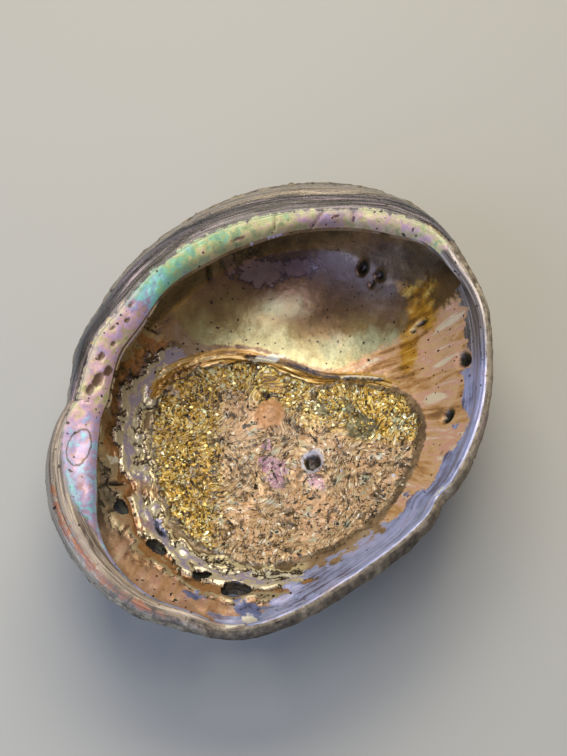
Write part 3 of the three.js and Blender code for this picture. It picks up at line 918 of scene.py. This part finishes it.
def pin(at, radius):
    """A tapered plug along the wall's normal at a place on the back, with an uneven outline."""
    back_points = sections[:, OUTLINE:].reshape(-1, 3)
    near = back_points[np.argmin(np.hypot(back_points[:, 0] - at[0], back_points[:, 1] - at[1]))]
    inner_points = sections[:, :EDGE].reshape(-1, 3)
    close = inner_points[np.argmin(np.linalg.norm(inner_points - near, axis=1))]
    axis = (close - near) / np.linalg.norm(close - near)
    side = np.cross(axis, (0, 0, 1.0))
    side /= np.linalg.norm(side)
    other = np.cross(axis, side)
    phase = rng.uniform(0, 2 * math.pi, 3)
    points = []
    for j in range(PIN_RINGS):
        t = j / (PIN_RINGS - 1)
        centre = near + axis * (-6 + t * (np.linalg.norm(close - near) + 12))
        for k in range(PIN_SIDES):
            a = 2 * math.pi * k / PIN_SIDES
            uneven = 1 + 0.1 * math.sin(2 * a + phase[0]) + 0.07 * math.sin(3 * a + phase[1] + t) + 0.03 * math.sin(
                7 * a + phase[2]
            )
            r = radius * uneven * (1.25 - 0.35 * t + 0.25 * (2 * t - 1) ** 2)
            points.append(centre + side * r * 1.15 * math.cos(a) + other * r * 0.9 * math.sin(a))
    count = len(points)
    quads = [
        (
            j * PIN_SIDES + k, j * PIN_SIDES + (k + 1) % PIN_SIDES, (j + 1) * PIN_SIDES + (k + 1) % PIN_SIDES,
            (j + 1) * PIN_SIDES + k,
        )
        for j in range(PIN_RINGS - 1)
        for k in range(PIN_SIDES)
    ]
    quads += [tuple(range(PIN_SIDES))[::-1], tuple(range(count - PIN_SIDES, count))]
    data = bpy.data.meshes.new("pin")
    data.from_pydata([p * MM for p in points], [], quads)
    work = bmesh.new()
    work.from_mesh(data)
    bmesh.ops.recalc_face_normals(work, faces=work.faces)
    work.to_mesh(data)
    work.free()
    return collect("pin", data)


# %% Cutting
before = shell.data.copy()
for at, radius in OPEN_HOLES:
    cutter = pin(np.array(at, float), radius)
    cut = shell.modifiers.new("cut", "BOOLEAN")
    cut.operation, cut.solver, cut.object = "DIFFERENCE", "MANIFOLD", cutter
    graph = bpy.context.evaluated_depsgraph_get()
    shell.data = bpy.data.meshes.new_from_object(
        shell.evaluated_get(graph), preserve_all_data_layers=True, depsgraph=graph,
    )
    shell.modifiers.remove(cut)
    bpy.data.objects.remove(cutter)

tree_of_points = KDTree(len(before.vertices))
for index, co in enumerate(read(before.vertices, "co", 3).reshape(-1, 3)):
    tree_of_points.insert(co, index)
tree_of_points.balance()
nearest, gap = [], []
for vertex in shell.data.vertices:
    _, index, distance = tree_of_points.find(vertex.co)
    nearest.append(index)
    gap.append(distance)
nearest, gap = np.array(nearest), np.array(gap)
for attribute in before.attributes:
    if attribute.domain != "POINT" or attribute.name.startswith((".", "position")):
        continue
    field, width = ("vector", 3) if attribute.data_type == "FLOAT_VECTOR" else ("value", 1)
    values = read(attribute.data, field, width)
    target = shell.data.attributes.get(attribute.name) or shell.data.attributes.new(
        attribute.name, attribute.data_type, "POINT",
    )
    target.data.foreach_set(field, values.reshape(-1, width)[nearest].ravel())
cut_points = np.where(gap > 1e-6)[0]
for index in cut_points:  # the walls of a hole are painted dark: painted shade inside the hole
    shell.data.attributes["hollow"].data[index].value = max(0.6, shell.data.attributes["hollow"].data[index].value)
print("points made by the cuts:", int((gap > 1e-6).sum()), "faces now:", len(shell.data.polygons))

# %% [markdown]
# ## Nacre
# Nacre is aragonite plates half a micrometre thick, stacked like bricks. Each plate sends back a little of
# the light, so it is pale, glossy and half metallic, and its colour drifts from pink through green to blue as
# the plates' thickness changes. One material covers the whole inside. It lays down a tone for each zone,
# one over the other, and each zone's mask is the zone's distance plus noise, so that every border is ragged.

# %% Coordinates and noises of the nacre
nacre.use_nodes = True
tree = nacre.node_tree
mm_place = add(tree, PLACE_TONE, attribute_name="rest")
rim_place = add(tree, PLACE_TONE, attribute_name="rim_flow")
scar_place = add(tree, PLACE_TONE, attribute_name="scar_flow")
zone = {name: add(tree, ZONE_TONE, attribute_name=name) for name in [*fields, "height"]}

medium = add(tree, NOISE, {"Vector": mm_place, "Scale": 1 / 5, "Detail": 4.0, "Roughness": 0.6})
clouds = add(tree, NOISE, {"Vector": mm_place, "Scale": 1 / 15, "Detail": 7.0, "Roughness": 0.62})
ragged = add(tree, NOISE, {"Vector": mm_place, "Scale": 1 / 3, "Detail": 6.0, "Roughness": 0.7})
fine_clouds = roughen(tree, clouds, ragged, 0.35)
shift = add(
    tree, VECTOR_MINUS,
    (add(tree, NOISE, {"Vector": mm_place, "Scale": 1 / 3.5, "Detail": 3.0}, out=1), (0.5, 0.5, 0.5)),
)
warped = add(tree, VECTOR_PLUS, (mm_place, add(tree, VECTOR_TIMES, (shift, (3.0, 3.0, 3.0)))))
GRAIN, BORE_SPACING, DOT_SPACING = 1.15, 4.6, 3.4  # mm: a grain's usual width, and the room for each bore or dot
swirl = add(
    tree, VECTOR_MINUS,
    (add(tree, NOISE, {"Vector": mm_place, "Scale": 1 / 19, "Detail": 1.0}, out=1), (0.5, 0.5, 0.5)),
)
swirl = add(tree, VECTOR_PLUS, (mm_place, add(tree, VECTOR_TIMES, (swirl, (34.0, 34.0, 0.0)))))
swirl = add(tree, VECTOR_TIMES, (swirl, (1 / (2.2 * GRAIN), 1 / (0.9 * GRAIN), 1 / GRAIN)))
grain = add(tree, NOISE, {"Vector": swirl, "Scale": 1.0, "Detail": 5.0, "Roughness": 0.7, "Distortion": 0.6})
grain = roughen(tree, grain, clouds, 0.3)
along_rim = add(tree, VECTOR_TIMES, (rim_place, (0.03, 0.03, 0.95)))
rim_lines = add(tree, NOISE, {"Vector": along_rim, "Scale": 1.0, "Detail": 5.0, "Roughness": 0.6, "Distortion": 0.3})
mottle = add(tree, PLUS, (add(tree, TIMES, (rim_lines, 0.4)), add(tree, TIMES, (clouds, 0.6))))
down_wall = add(tree, VECTOR_TIMES, (rim_place, (0.22, 0.22, 0.05)))
streaks = add(tree, NOISE, {"Vector": down_wall, "Scale": 1.0, "Detail": 6.0, "Roughness": 0.6, "Distortion": 0.5})
along_scar = add(tree, VECTOR_TIMES, (scar_place, (0.05, 0.05, 0.75)))
threads = add(tree, NOISE, {"Vector": along_scar, "Scale": 1.0, "Detail": 4.0, "Roughness": 0.6, "Distortion": 0.4})
beside_scar = add(tree, VECTOR_TIMES, (scar_place, STRIP_SCALE))
jags = add(tree, NOISE, {"Vector": beside_scar, "Scale": 1.0, **STRIP_NOISE})
strip = roughen(tree, zone["scar"], jags, STRIP_JAG)
strip = add(tree, RANGE, (strip, -STRIPS_WIDE, 0.0))
cracks = add(tree, NOISE, {"Vector": mm_place, "Scale": 1 / 8, "Detail": 5.0, "Roughness": 0.6, "Distortion": 0.9})
cracks = add(tree, SIZE_OF, (add(tree, MINUS, (cracks, 0.5)),))

# the basin's tone runs from pale by the ridge to dark brown toward the shelf: a painted highlight by the ridge and
# painted shade toward the shelf, over the nacre's own gold and olive
basin_lit_to_shaded = roughen(tree, zone["from_ridge"], clouds, 0.75)
basin_lit_to_shaded = roughen(tree, basin_lit_to_shaded, ragged, 0.3)

# %% Tones: each is a noise turned into the colours of one zone
TONES = {
    "wall": (fine_clouds, [(0.3, "493829"), (0.42, "735b43"), (0.52, "937655"), (0.62, "a88f72"), (0.75, "8f7f7c")]),
    "basin": (
        basin_lit_to_shaded,
        [(0.0, "cdb87c"), (0.13, "bcb585"), (0.27, "9c8a57"), (0.42, "806739"), (0.62, "664a2a"), (0.9, "45311f")],
    ),
    "amber": (streaks, [(0.32, "4e3210"), (0.43, "8d5e1a"), (0.52, "bb842a"), (0.62, "d8ae58")]),
    "peach": (streaks, [(0.32, "8b6440"), (0.42, "bd8a56"), (0.49, "d2aa7c"), (0.56, "d0997f"), (0.64, "dfc9a6")]),
    "lip": (mottle, [(0.34, "4a3c46"), (0.42, "6c6579"), (0.48, "8a90ae"), (0.56, "a7a5c6"), (0.66, "8f8490")]),
    "channel": (strip, [(at, text) for at, text, _ in STRIPS]),
    "scar": (
        grain,
        [(0.34, "171006"), (0.41, "4f3a12"), (0.47, "a07824"), (0.54, "d1a23c"), (0.6, "ead27a"), (0.69, "f4ebc0")],
    ),
    "scar_low": (
        grain,
        [(0.33, "21180f"), (0.39, "765a3b"), (0.46, "b58f66"), (0.54, "cfab80"), (0.63, "dfc8a4"), (0.72, "e8e0cf")],
    ),
    "ridge": (threads, [(0.32, "33240f"), (0.42, "80591f"), (0.5, "b5832f"), (0.58, "d3b273"), (0.7, "ece3cc")]),
    "shoulder": (rim_lines, [(0.34, "171416"), (0.42, "2b282b"), (0.5, "423c42"), (0.58, "5d555c"), (0.7, "957d89")]),
    "gray": (rim_lines, [(0.34, "2c2623"), (0.43, "59504b"), (0.51, "7a6f68"), (0.59, "958a86"), (0.7, "b5a9a3")]),
    "lobe": (
        rim_lines,
        [
            (0.34, "2a2421"), (0.42, "6a5d52"), (0.49, "8f7f6f"), (0.54, "a89884"), (0.6, "75686a"),
            (0.66, "a58f7c"), (0.72, "bdb2a4"),
        ],
    ),
    "crust": (ragged, [(0.3, "2f2822"), (0.42, "5f5347"), (0.52, "857663"), (0.62, "a99a83"), (0.75, "8f7a74")]),
}
tone = {
    name: add(tree, RAMP, (noise,), stops=[(at, shade(text)) for at, text in stops])
    for name, (noise, stops) in TONES.items()
}
tone["channel"].node.color_ramp.interpolation = "CONSTANT"
tone["channel"] = add(tree, BLEND, {0: 0.16, 6: tone["channel"], 7: tone["wall"]})
NACRE_TURN = [
    (0.0, "b8909c"), (0.18, "9488ac"), (0.34, "7cb3b8"), (0.5, "6fb596"), (0.65, "90a874"), (0.8, "bdb27c"),
    (1.0, "b8909c"),
]
drift = roughen(tree, zone["hue"], medium, 0.75)
drift = roughen(tree, drift, ragged, 1.15)
turned = add(tree, FRACTION, (drift,))
tone["band"] = add(tree, RAMP, (turned,), stops=[(at, shade(text)) for at, text in NACRE_TURN])

# %% Masks: a zone's distance in mm plus noise, cut off sharply
EDGES = {  # noise, how far it moves the border, where the mask starts, where it is full, its strength if not 1
    "scar": (medium, 9.0, -0.8, 0.8),
    "ember": (ragged, 7.0, -0.3, 0.5),
    "blue": (ragged, 8.0, -0.4, 0.6),
    "knob": (ragged, 5.0, -0.4, 0.6),
    "sheen": (medium, 12.0, -3.0, 4.0, 0.45),
    "band_pits": (ragged, 3.0, -0.3, 0.3),
    "lip": (jags, 34.0, -0.5, 0.5),
    "lobe": (ragged, 5.0, -0.8, 0.8),
    "pink": (ragged, 10.0, -0.6, 0.9, 0.85),
    "green": (ragged, 9.0, -0.6, 0.6),
    "pale": (ragged, 6.0, -0.4, 0.4),
    "stain": (ragged, 8.0, -0.4, 0.4),
    "rust": (ragged, 12.0, -1.5, 1.5),
    "amber": (ragged, 9.0, -1.5, 1.5),
    # hollow: the pits and the walls of the cut holes, painted near black as shade
    "hollow": (ragged, 1.6, -0.3, 0.9),
}
mask = {}
for name, (noise, wander, start, full, *strength) in EDGES.items():
    moved = roughen(tree, zone[name], noise, wander)
    mask[name] = add(tree, EASE, (moved, start, full, 0.0, *strength))
for name in ("channel", "basin", "peach", "under", "ridge", "shoulder", "band", "outer"):
    moved = roughen(tree, zone[name], ragged, 0.9)
    mask[name] = add(tree, EASE, (moved, 0.4, 0.6))
high_end = roughen(tree, zone["gold"], medium, 1.6)
high_end = add(tree, EASE, (high_end, 0.05, 0.95))

# %% Marks: cracks, bores, specks and lines, each cut from a noise or a distance
clumps = add(tree, NOISE, {"Vector": warped, "Scale": 1 / 6, "Detail": 4.0, "Roughness": 0.6})
specks = add(tree, NOISE, {"Vector": swirl, "Scale": 0.8, "Detail": 2.0})
bores = add(tree, CELLS, {"Vector": warped, "Scale": 1 / BORE_SPACING})
bore_pick = add(tree, CELLS, {"Vector": warped, "Scale": 1 / BORE_SPACING}, out=1)
dots = add(tree, CELLS, {"Vector": warped, "Scale": 1 / DOT_SPACING})
dots = add(tree, MINUS, (dots, add(tree, TIMES, (clouds, 0.32))))
low_scar = add(tree, TIMES, (add(tree, MINUS, (1.0, high_end)), mask["scar"]))
some_bores = add(tree, TIMES, (add(tree, RANGE, (bore_pick, 0.45, 0.5)), low_scar))
channel_front = add(tree, TIMES, (mask["channel"], zone["front"]))
around_pit = add(tree, PLUS, (roughen(tree, zone["pit"], ragged, 4.0), 0.6))
MARKS = {  # cut from what, where it starts, where it is full, its strength, the mask that it stays in
    "stain_heart": (roughen(tree, zone["stain"], ragged, 8.0), 0.5, 1.1, 1.0, None),
    "front_ledge": (strip, 0.3, 0.27, 1.0, channel_front),
    "calm": (clouds, 0.5, 0.56, 0.75, low_scar),
    "dark_clump": (clumps, 0.44, 0.36, 0.75, mask["scar"]),
    "pale_clump": (clumps, 0.57, 0.66, 0.6, mask["scar"]),
    "edge_line": (add(tree, SIZE_OF, (roughen(tree, zone["scar"], medium, 9.0),)), 1.3, 0.5, 0.65, None),
    "crevice": (cracks, 0.02, 0.008, 0.85, mask["scar"]),
    "white_specks": (specks, 0.655, 0.675, 1.0, mask["scar"]),
    "black_specks": (specks, 0.385, 0.36, 1.0, mask["scar"]),
    "split": (roughen(tree, zone["split"], ragged, 3.0), -1.0, -0.5, 0.9, None),
    "bore_rim": (bores, 0.24, 0.2, 0.6, some_bores),
    "bore": (bores, 0.15, 0.1, 1.0, some_bores),
    "mottled": (ragged, 0.49, 0.4, 0.6, mask["band"]),
    "band_edge": (roughen(tree, zone["beyond"], ragged, 9.0), -2.2, -1.4, 0.55, mask["band"]),
    "seal_line": (add(tree, SIZE_OF, (roughen(tree, zone["seal"], ragged, 2.0),)), 0.42, 0.12, 0.85, None),
    "crack_line": (roughen(tree, zone["band_lines"], ragged, 3.0), -0.45, -0.1, 0.8, None),
    "beyond": (roughen(tree, roughen(tree, zone["beyond"], ragged, 5.0), medium, 6.0), -0.3, 0.3, 1.0, None),
    # where the relief lies low the colour is darkened: painted shade in the hollows of the relief
    "shaded_low_relief": (zone["height"], -0.35, -1.5, 0.75, None),
    "ring_shine": (add(tree, SIZE_OF, (around_pit,)), 1.1, 0.3, 0.75, None),
    "dots": (dots, -0.035, -0.06, 1.0, add(tree, MINUS, (1.0, mask["outer"]))),
}
for name, (value, start, full, strength, within) in MARKS.items():
    mask[name] = add(tree, EASE, (value, start, full, 0.0, strength))
    if within is not None:
        mask[name] = add(tree, TIMES, (mask[name], within))
# the inner part of the shelf band, darkened: painted shade
mask["band_low"] = add(tree, TIMES, (add(tree, TIMES, (zone["band_low"], 0.6)), mask["band"]))

# %% Layers, one over the other
tone["both_scars"] = add(tree, BLEND, {0: high_end, 6: tone["scar_low"], 7: tone["scar"]})
# the wall tone darkened for the wall under the shelf: painted shade
tone["shaded_wall"] = add(tree, BLEND, {0: 0.55, 6: tone["wall"], 7: shade("33241f")})
tone["whole_lip"] = add(tree, BLEND, {0: zone["gray_lip"], 6: tone["lip"], 7: tone["gray"]})
LAYERS = [  # a mask, and a tone, a colour, or a colour with a tone mixed in
    ("basin", "basin"), ("sheen", "c3cba4"), ("peach", "peach"), ("amber", "amber"), ("under", "shaded_wall"),
    ("stain", "211a1c"), ("stain_heart", (0.3, "5b4550", "wall")), ("channel", "channel"),
    ("rust", (0.5, "a36c45", "channel")), ("ridge", "ridge"), ("front_ledge", (0.5, "9d7660", "peach")),
    ("lip", "whole_lip"), ("scar", "both_scars"), ("calm", (0.5, "cd9f74", "peach")), ("dark_clump", "35281a"),
    ("pale_clump", (0.5, "d9cfb4", "band")), ("edge_line", "2e2519"), ("pink", (0.35, "bf8ab6", "scar_low")),
    ("crevice", "1d160d"), ("white_specks", "e9e1cc"), ("black_specks", "17110b"), ("split", "241a10"),
    ("bore_rim", "d8c8a8"), ("bore", "1a130d"), ("knob", (0.3, "c8905f", "peach")),
    ("green", (0.25, "3f4d42", "scar")), ("band", "band"), ("mottled", (0.4, "655d4b", "band")),
    ("band_edge", "8c9070"), ("band_low", (0.5, "57503a", "wall")), ("band_pits", "5b4334"),
    ("seal_line", "3c3028"), ("crack_line", "2b231e"), ("beyond", "shoulder"), ("lobe", "lobe"),
    ("outer", "crust"), ("ember", (0.35, "9c5226", "lobe")), ("blue", (0.3, "4c5684", "lip")),
    ("pale", "d9d0bc"), ("shaded_low_relief", "1f1812"), ("ring_shine", "b9b8c8"), ("hollow", "15110d"), ("dots", "17120c"),
]
colour = tone["wall"]
for over, paint in LAYERS:
    if isinstance(paint, tuple):
        amount, text, name = paint
        paint = add(tree, BLEND, {0: amount, 6: shade(text), 7: tone[name]})
    else:
        paint = tone.get(paint) or shade(paint)
    colour = add(tree, BLEND, {0: mask[over], 6: colour, 7: paint})
print("layers of nacre:", len(LAYERS))

# %% The nacre's shader
surface = tree.nodes["Principled BSDF"]
tree.links.new(colour, surface.inputs["Base Color"])
SETTINGS = {
    "Metallic": 0.35, "IOR": 1.6, "Coat Weight": 0.35, "Coat Roughness": 0.18, "Thin Film Thickness": 420.0,
    "Thin Film IOR": 1.5,
}
for name, value in SETTINGS.items():
    surface.inputs[name].default_value = value
rough = add(tree, RANGE, (medium, 0.3, 0.7, 0.2, 0.36))
for name, more in (("scar", 0.16), ("lip", 0.16), ("band", 0.12), ("outer", 0.35)):
    rough = add(tree, TIMES_PLUS, (mask[name], more, rough))
tree.links.new(rough, surface.inputs["Roughness"])
bumps = add(tree, TIMES, (grain, mask["scar"]))
bumps = add(tree, TIMES_PLUS, (ragged, 0.25, bumps))
for name in ("bore", "dots"):
    bumps = add(tree, TIMES_PLUS, (mask[name], -0.8, bumps))
lines = add(tree, TIMES, (rim_lines, add(tree, LARGER, (mask["shoulder"], mask["lobe"]))))
bumps = add(tree, TIMES_PLUS, (lines, 0.8, bumps))
tree.links.new(
    add(tree, "ShaderNodeBump", {"Strength": 0.8, "Distance": 0.9 * MM, "Height": bumps}), surface.inputs["Normal"],
)

# %% [markdown]
# ## Crust
# The outside is chalky calcite, dull brown-red where it is fresh and tan or gray where worms and weed have
# worked on it. It is rough and hardly shines, and its colour runs in bands of growth.

# %% The crust's shader
crust.use_nodes = True
tree = crust.node_tree
mm_place = add(tree, PLACE_TONE, attribute_name="rest")
age_zone = add(tree, ZONE_TONE, attribute_name="age")
height_zone = add(tree, ZONE_TONE, attribute_name="height")
ragged = add(tree, NOISE, {"Vector": mm_place, "Scale": 1 / 3, "Detail": 6.0, "Roughness": 0.7})
clouds = add(tree, NOISE, {"Vector": mm_place, "Scale": 1 / 22, "Detail": 4.0, "Roughness": 0.6})
growth = add(tree, PLACE_TONE, attribute_name="growth")
growth = add(tree, VECTOR_TIMES, (growth, (0.04, 0.04, 0.7)))
growth_lines = add(tree, NOISE, {"Vector": growth, "Scale": 1.0, "Detail": 4.0, "Roughness": 0.6, "Distortion": 0.3})
mixed = add(tree, PLUS, (add(tree, TIMES, (growth_lines, 0.6)), add(tree, TIMES, (ragged, 0.4))))
CHALK = [(0.38, "2b241f"), (0.45, "5f5347"), (0.51, "857663"), (0.57, "a99a83"), (0.64, "8f7a74")]
chalk = add(tree, RAMP, (mixed,), stops=[(at, shade(text)) for at, text in CHALK])
brick = add(tree, RAMP, (mixed,), stops=[(0.36, shade("3a231d")), (0.5, shade("7c4f40")), (0.64, shade("a8806c"))])
bands = add(
    tree, NOISE, {"W": add(tree, PLUS, (add(tree, TIMES, (age_zone, 9.0)), ragged)), "Scale": 1.0, "Detail": 3.0},
    noise_dimensions="1D",
)
bands = add(tree, EASE, (add(tree, PLUS, (bands, clouds)), 0.9, 1.15))
old_part = add(tree, EASE, (age_zone, 0.25, 0.7, 0.0, 0.8))
bands = add(tree, TIMES, (bands, old_part))
colour = add(tree, BLEND, {0: bands, 6: chalk, 7: brick})
# the crust is darkened where its relief lies low: painted shade in its hollows
shaded_low_places = add(tree, EASE, (height_zone, 0.1, -0.9, 0.0, 0.6))
colour = add(tree, BLEND, {0: shaded_low_places, 6: colour, 7: shade("2a221c")})
surface = tree.nodes["Principled BSDF"]
tree.links.new(colour, surface.inputs["Base Color"])
surface.inputs["Specular IOR Level"].default_value = 0.35
tree.links.new(add(tree, RANGE, (ragged, 0.3, 0.7, 0.62, 0.85)), surface.inputs["Roughness"])
pores = add(tree, NOISE, {"Vector": mm_place, "Scale": 1 / 1.2, "Detail": 5.0, "Roughness": 0.7})
pores = add(tree, TIMES_PLUS, (growth_lines, 1.2, pores))
tree.links.new(
    add(tree, "ShaderNodeBump", {"Strength": 0.9, "Distance": 0.8 * MM, "Height": pores}), surface.inputs["Normal"],
)

# %% Nacre inside, crust outside
shell.data.materials.clear()
shell.data.materials.append(nacre)
shell.data.materials.append(crust)
outer = read(shell.data.attributes["outer"].data, "value")
corners = read(shell.data.loops, "vertex_index", kind=np.int32)
firsts = read(shell.data.polygons, "loop_start", kind=np.int32)
ALL_OUTSIDE = 0.98  # a face is crust where all its points are outside at least this far
which = (np.minimum.reduceat(outer[corners], firsts) > ALL_OUTSIDE).astype(np.int32)
shell.data.polygons.foreach_set("material_index", which)
shell.data.shade_smooth()
print("faces of nacre:", int((which == 0).sum()), "faces of crust:", int((which == 1).sum()))

# %% [markdown]
# ## Grains on the scar
# Where the muscle was fixed, the nacre has broken into chips that stand up from the surface and catch the
# light one by one. Colour alone looks painted, so the chips are real: thin plates of five to seven sides, in
# three shapes, scattered over the scar by a second Geometry Nodes tree. Each is turned, tilted and scaled at
# random from a fixed seed and has a tone of its own. A chip has only some 24 triangles, because there are
# thousands.

# %% Chips tree
chips, size = new_tree("nacre_chips", density=1.05e6, smallest=0.45, largest=1.8, thickness=1.6, tilt=0.6)
scar_zone = add(chips, ZONE, ("scar",))
height_zone = add(chips, ZONE, ("height",))
place = add(chips, PLACE, ("rest",))
medium = add(chips, NOISE, {"Vector": place, "Scale": 1 / 5, "Detail": 4.0, "Roughness": 0.6})
patchy = add(chips, NOISE, {"Vector": place, "Scale": 1 / 8, "Detail": 2.0})
edge = roughen(chips, scar_zone, medium, 9.0)
on_scar = add(chips, ABOVE, (edge, 0.8))
patch = add(chips, RANGE, (patchy, 0.4, 0.58, 0.06, 1.0))
free = add(chips, ABOVE, (height_zone, -1.5))
for name in ("knob", "pit", "pink"):
    spot = add(chips, ZONE, (name,))
    free = add(chips, TIMES, (free, add(chips, BELOW, (spot, -0.6))))
density = add(chips, TIMES, (add(chips, TIMES, (on_scar, free)), patch))
gold_zone = add(chips, ZONE, ("gold",))
fewer = add(chips, RANGE, (gold_zone, 0.1, 0.9, 0.09, 1.0))
density = add(chips, TIMES, (add(chips, TIMES, (density, fewer)), size["density"]))
spread = chips.nodes.new("GeometryNodeDistributePointsOnFaces")
chips.links.new(size["Geometry"], spread.inputs["Mesh"])
chips.links.new(density, spread.inputs["Density"])
spread.inputs["Seed"].default_value = 3
tone_value = add(chips, RANDOM, {"Seed": 5})
toned = add(
    chips, "GeometryNodeStoreNamedAttribute",
    {"Geometry": spread.outputs["Points"], "Name": "tone", "Value": tone_value}, data_type="FLOAT",
)

shapes = chips.nodes.new("GeometryNodeJoinGeometry")
for sides in (5, 6, 7):
    plate = add(
        chips, "GeometryNodeMeshCylinder", {"Vertices": sides, "Radius": 0.5, "Depth": 0.16},
        fill_type="TRIANGLE_FAN",
    )
    jolt = add(
        chips, "FunctionNodeRandomValue", {"Min": (-0.16, -0.16, -0.03), "Max": (0.16, 0.16, 0.03), "Seed": sides},
        data_type="FLOAT_VECTOR",
    )
    plate = add(chips, "GeometryNodeSetPosition", {"Geometry": plate, "Offset": jolt})
    chips.links.new(add(chips, "GeometryNodeGeometryToInstance", (plate,)), shapes.inputs[0])
pick = add(chips, "FunctionNodeRandomValue", {"Min": 0, "Max": 2, "Seed": 11}, out=2, data_type="INT")
length = add(chips, RANDOM, {"Min": size["smallest"], "Max": size["largest"], "Seed": 12})
slim = add(chips, RANDOM, {"Min": 0.4, "Max": 0.9, "Seed": 13})
lengths = chips.nodes.new("ShaderNodeCombineXYZ")
chips.links.new(length, lengths.inputs[0])
chips.links.new(add(chips, TIMES, (length, slim)), lengths.inputs[1])
chips.links.new(size["thickness"], lengths.inputs[2])
in_metres = add(chips, SCALED, {0: lengths.outputs[0], "Scale": MM})
laid = add(chips, "GeometryNodeInstanceOnPoints", {
    "Points": toned, "Instance": shapes.outputs[0], "Pick Instance": True, "Instance Index": pick,
    "Rotation": spread.outputs["Rotation"], "Scale": in_metres,
})
tilts = chips.nodes.new("ShaderNodeCombineXYZ")
for axis, seed in ((0, 21), (1, 22)):
    lean = add(chips, RANDOM, {"Min": -1.0, "Max": 1.0, "Seed": seed})
    chips.links.new(add(chips, TIMES, (lean, size["tilt"])), tilts.inputs[axis])
chips.links.new(add(chips, RANDOM, {"Min": 0.0, "Max": 2 * math.pi, "Seed": 23}), tilts.inputs[2])
turned = add(chips, "GeometryNodeRotateInstances", {"Instances": laid, "Rotation": tilts.outputs[0]})

chip_nacre = bpy.data.materials.new("chipped_nacre")
finish_tree(chips, turned, chip_nacre)
grains = collect("chipped_nacre_grains", shell.data)
run_tree(grains, chips)
tris = sum(len(face.vertices) - 2 for face in grains.data.polygons)
print("chips:", len(grains.data.vertices) // 14, "or so, triangles:", tris)

# %% [markdown]
# A broken edge of nacre shows its plates from the side, so a chip is duller than polished nacre but has one
# bright facet: gold where light has gone through many plates, peach and gray where it has not. Each chip
# takes one colour from a ramp by its own random tone, because a noise would cross from chip to chip.

# %% The chips' shader
chip_nacre.use_nodes = True
tree = chip_nacre.node_tree
tone_of_chip = add(tree, ZONE_TONE, attribute_name="tone")
mm_place = add(tree, PLACE_TONE, attribute_name="rest")
medium = add(tree, NOISE, {"Vector": mm_place, "Scale": 1 / 5, "Detail": 4.0, "Roughness": 0.6})
GOLD = [
    (0.0, "2a1e08"), (0.15, "6d501a"), (0.34, "b88b28"), (0.55, "dcb048"), (0.75, "ecd784"), (0.88, "f5eecb"),
    (1.0, "bcc794"),
]
PEACH = [
    (0.0, "231a11"), (0.16, "765c3f"), (0.36, "b0906a"), (0.56, "c19f78"), (0.78, "cdb48e"), (0.88, "bfa090"),
    (0.95, "9f9ca4"), (1.0, "d8cdb8"),
]
gold = add(tree, RAMP, (tone_of_chip,), stops=[(at, shade(text)) for at, text in GOLD])
peach = add(tree, RAMP, (tone_of_chip,), stops=[(at, shade(text)) for at, text in PEACH])
gold_zone = add(tree, ZONE_TONE, attribute_name="gold")
high_end = roughen(tree, gold_zone, medium, 1.6)
high_end = add(tree, EASE, (high_end, 0.05, 0.95))
surface = tree.nodes["Principled BSDF"]
tree.links.new(add(tree, BLEND, {0: high_end, 6: peach, 7: gold}), surface.inputs["Base Color"])
for name, value in {"Metallic": 0.35, "Roughness": 0.3, "IOR": 1.6, "Coat Weight": 0.3}.items():
    surface.inputs[name].default_value = value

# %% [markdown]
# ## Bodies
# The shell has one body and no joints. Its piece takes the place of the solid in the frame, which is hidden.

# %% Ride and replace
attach(shell, "root")
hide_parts("abalone_shell")
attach(grains, "root")
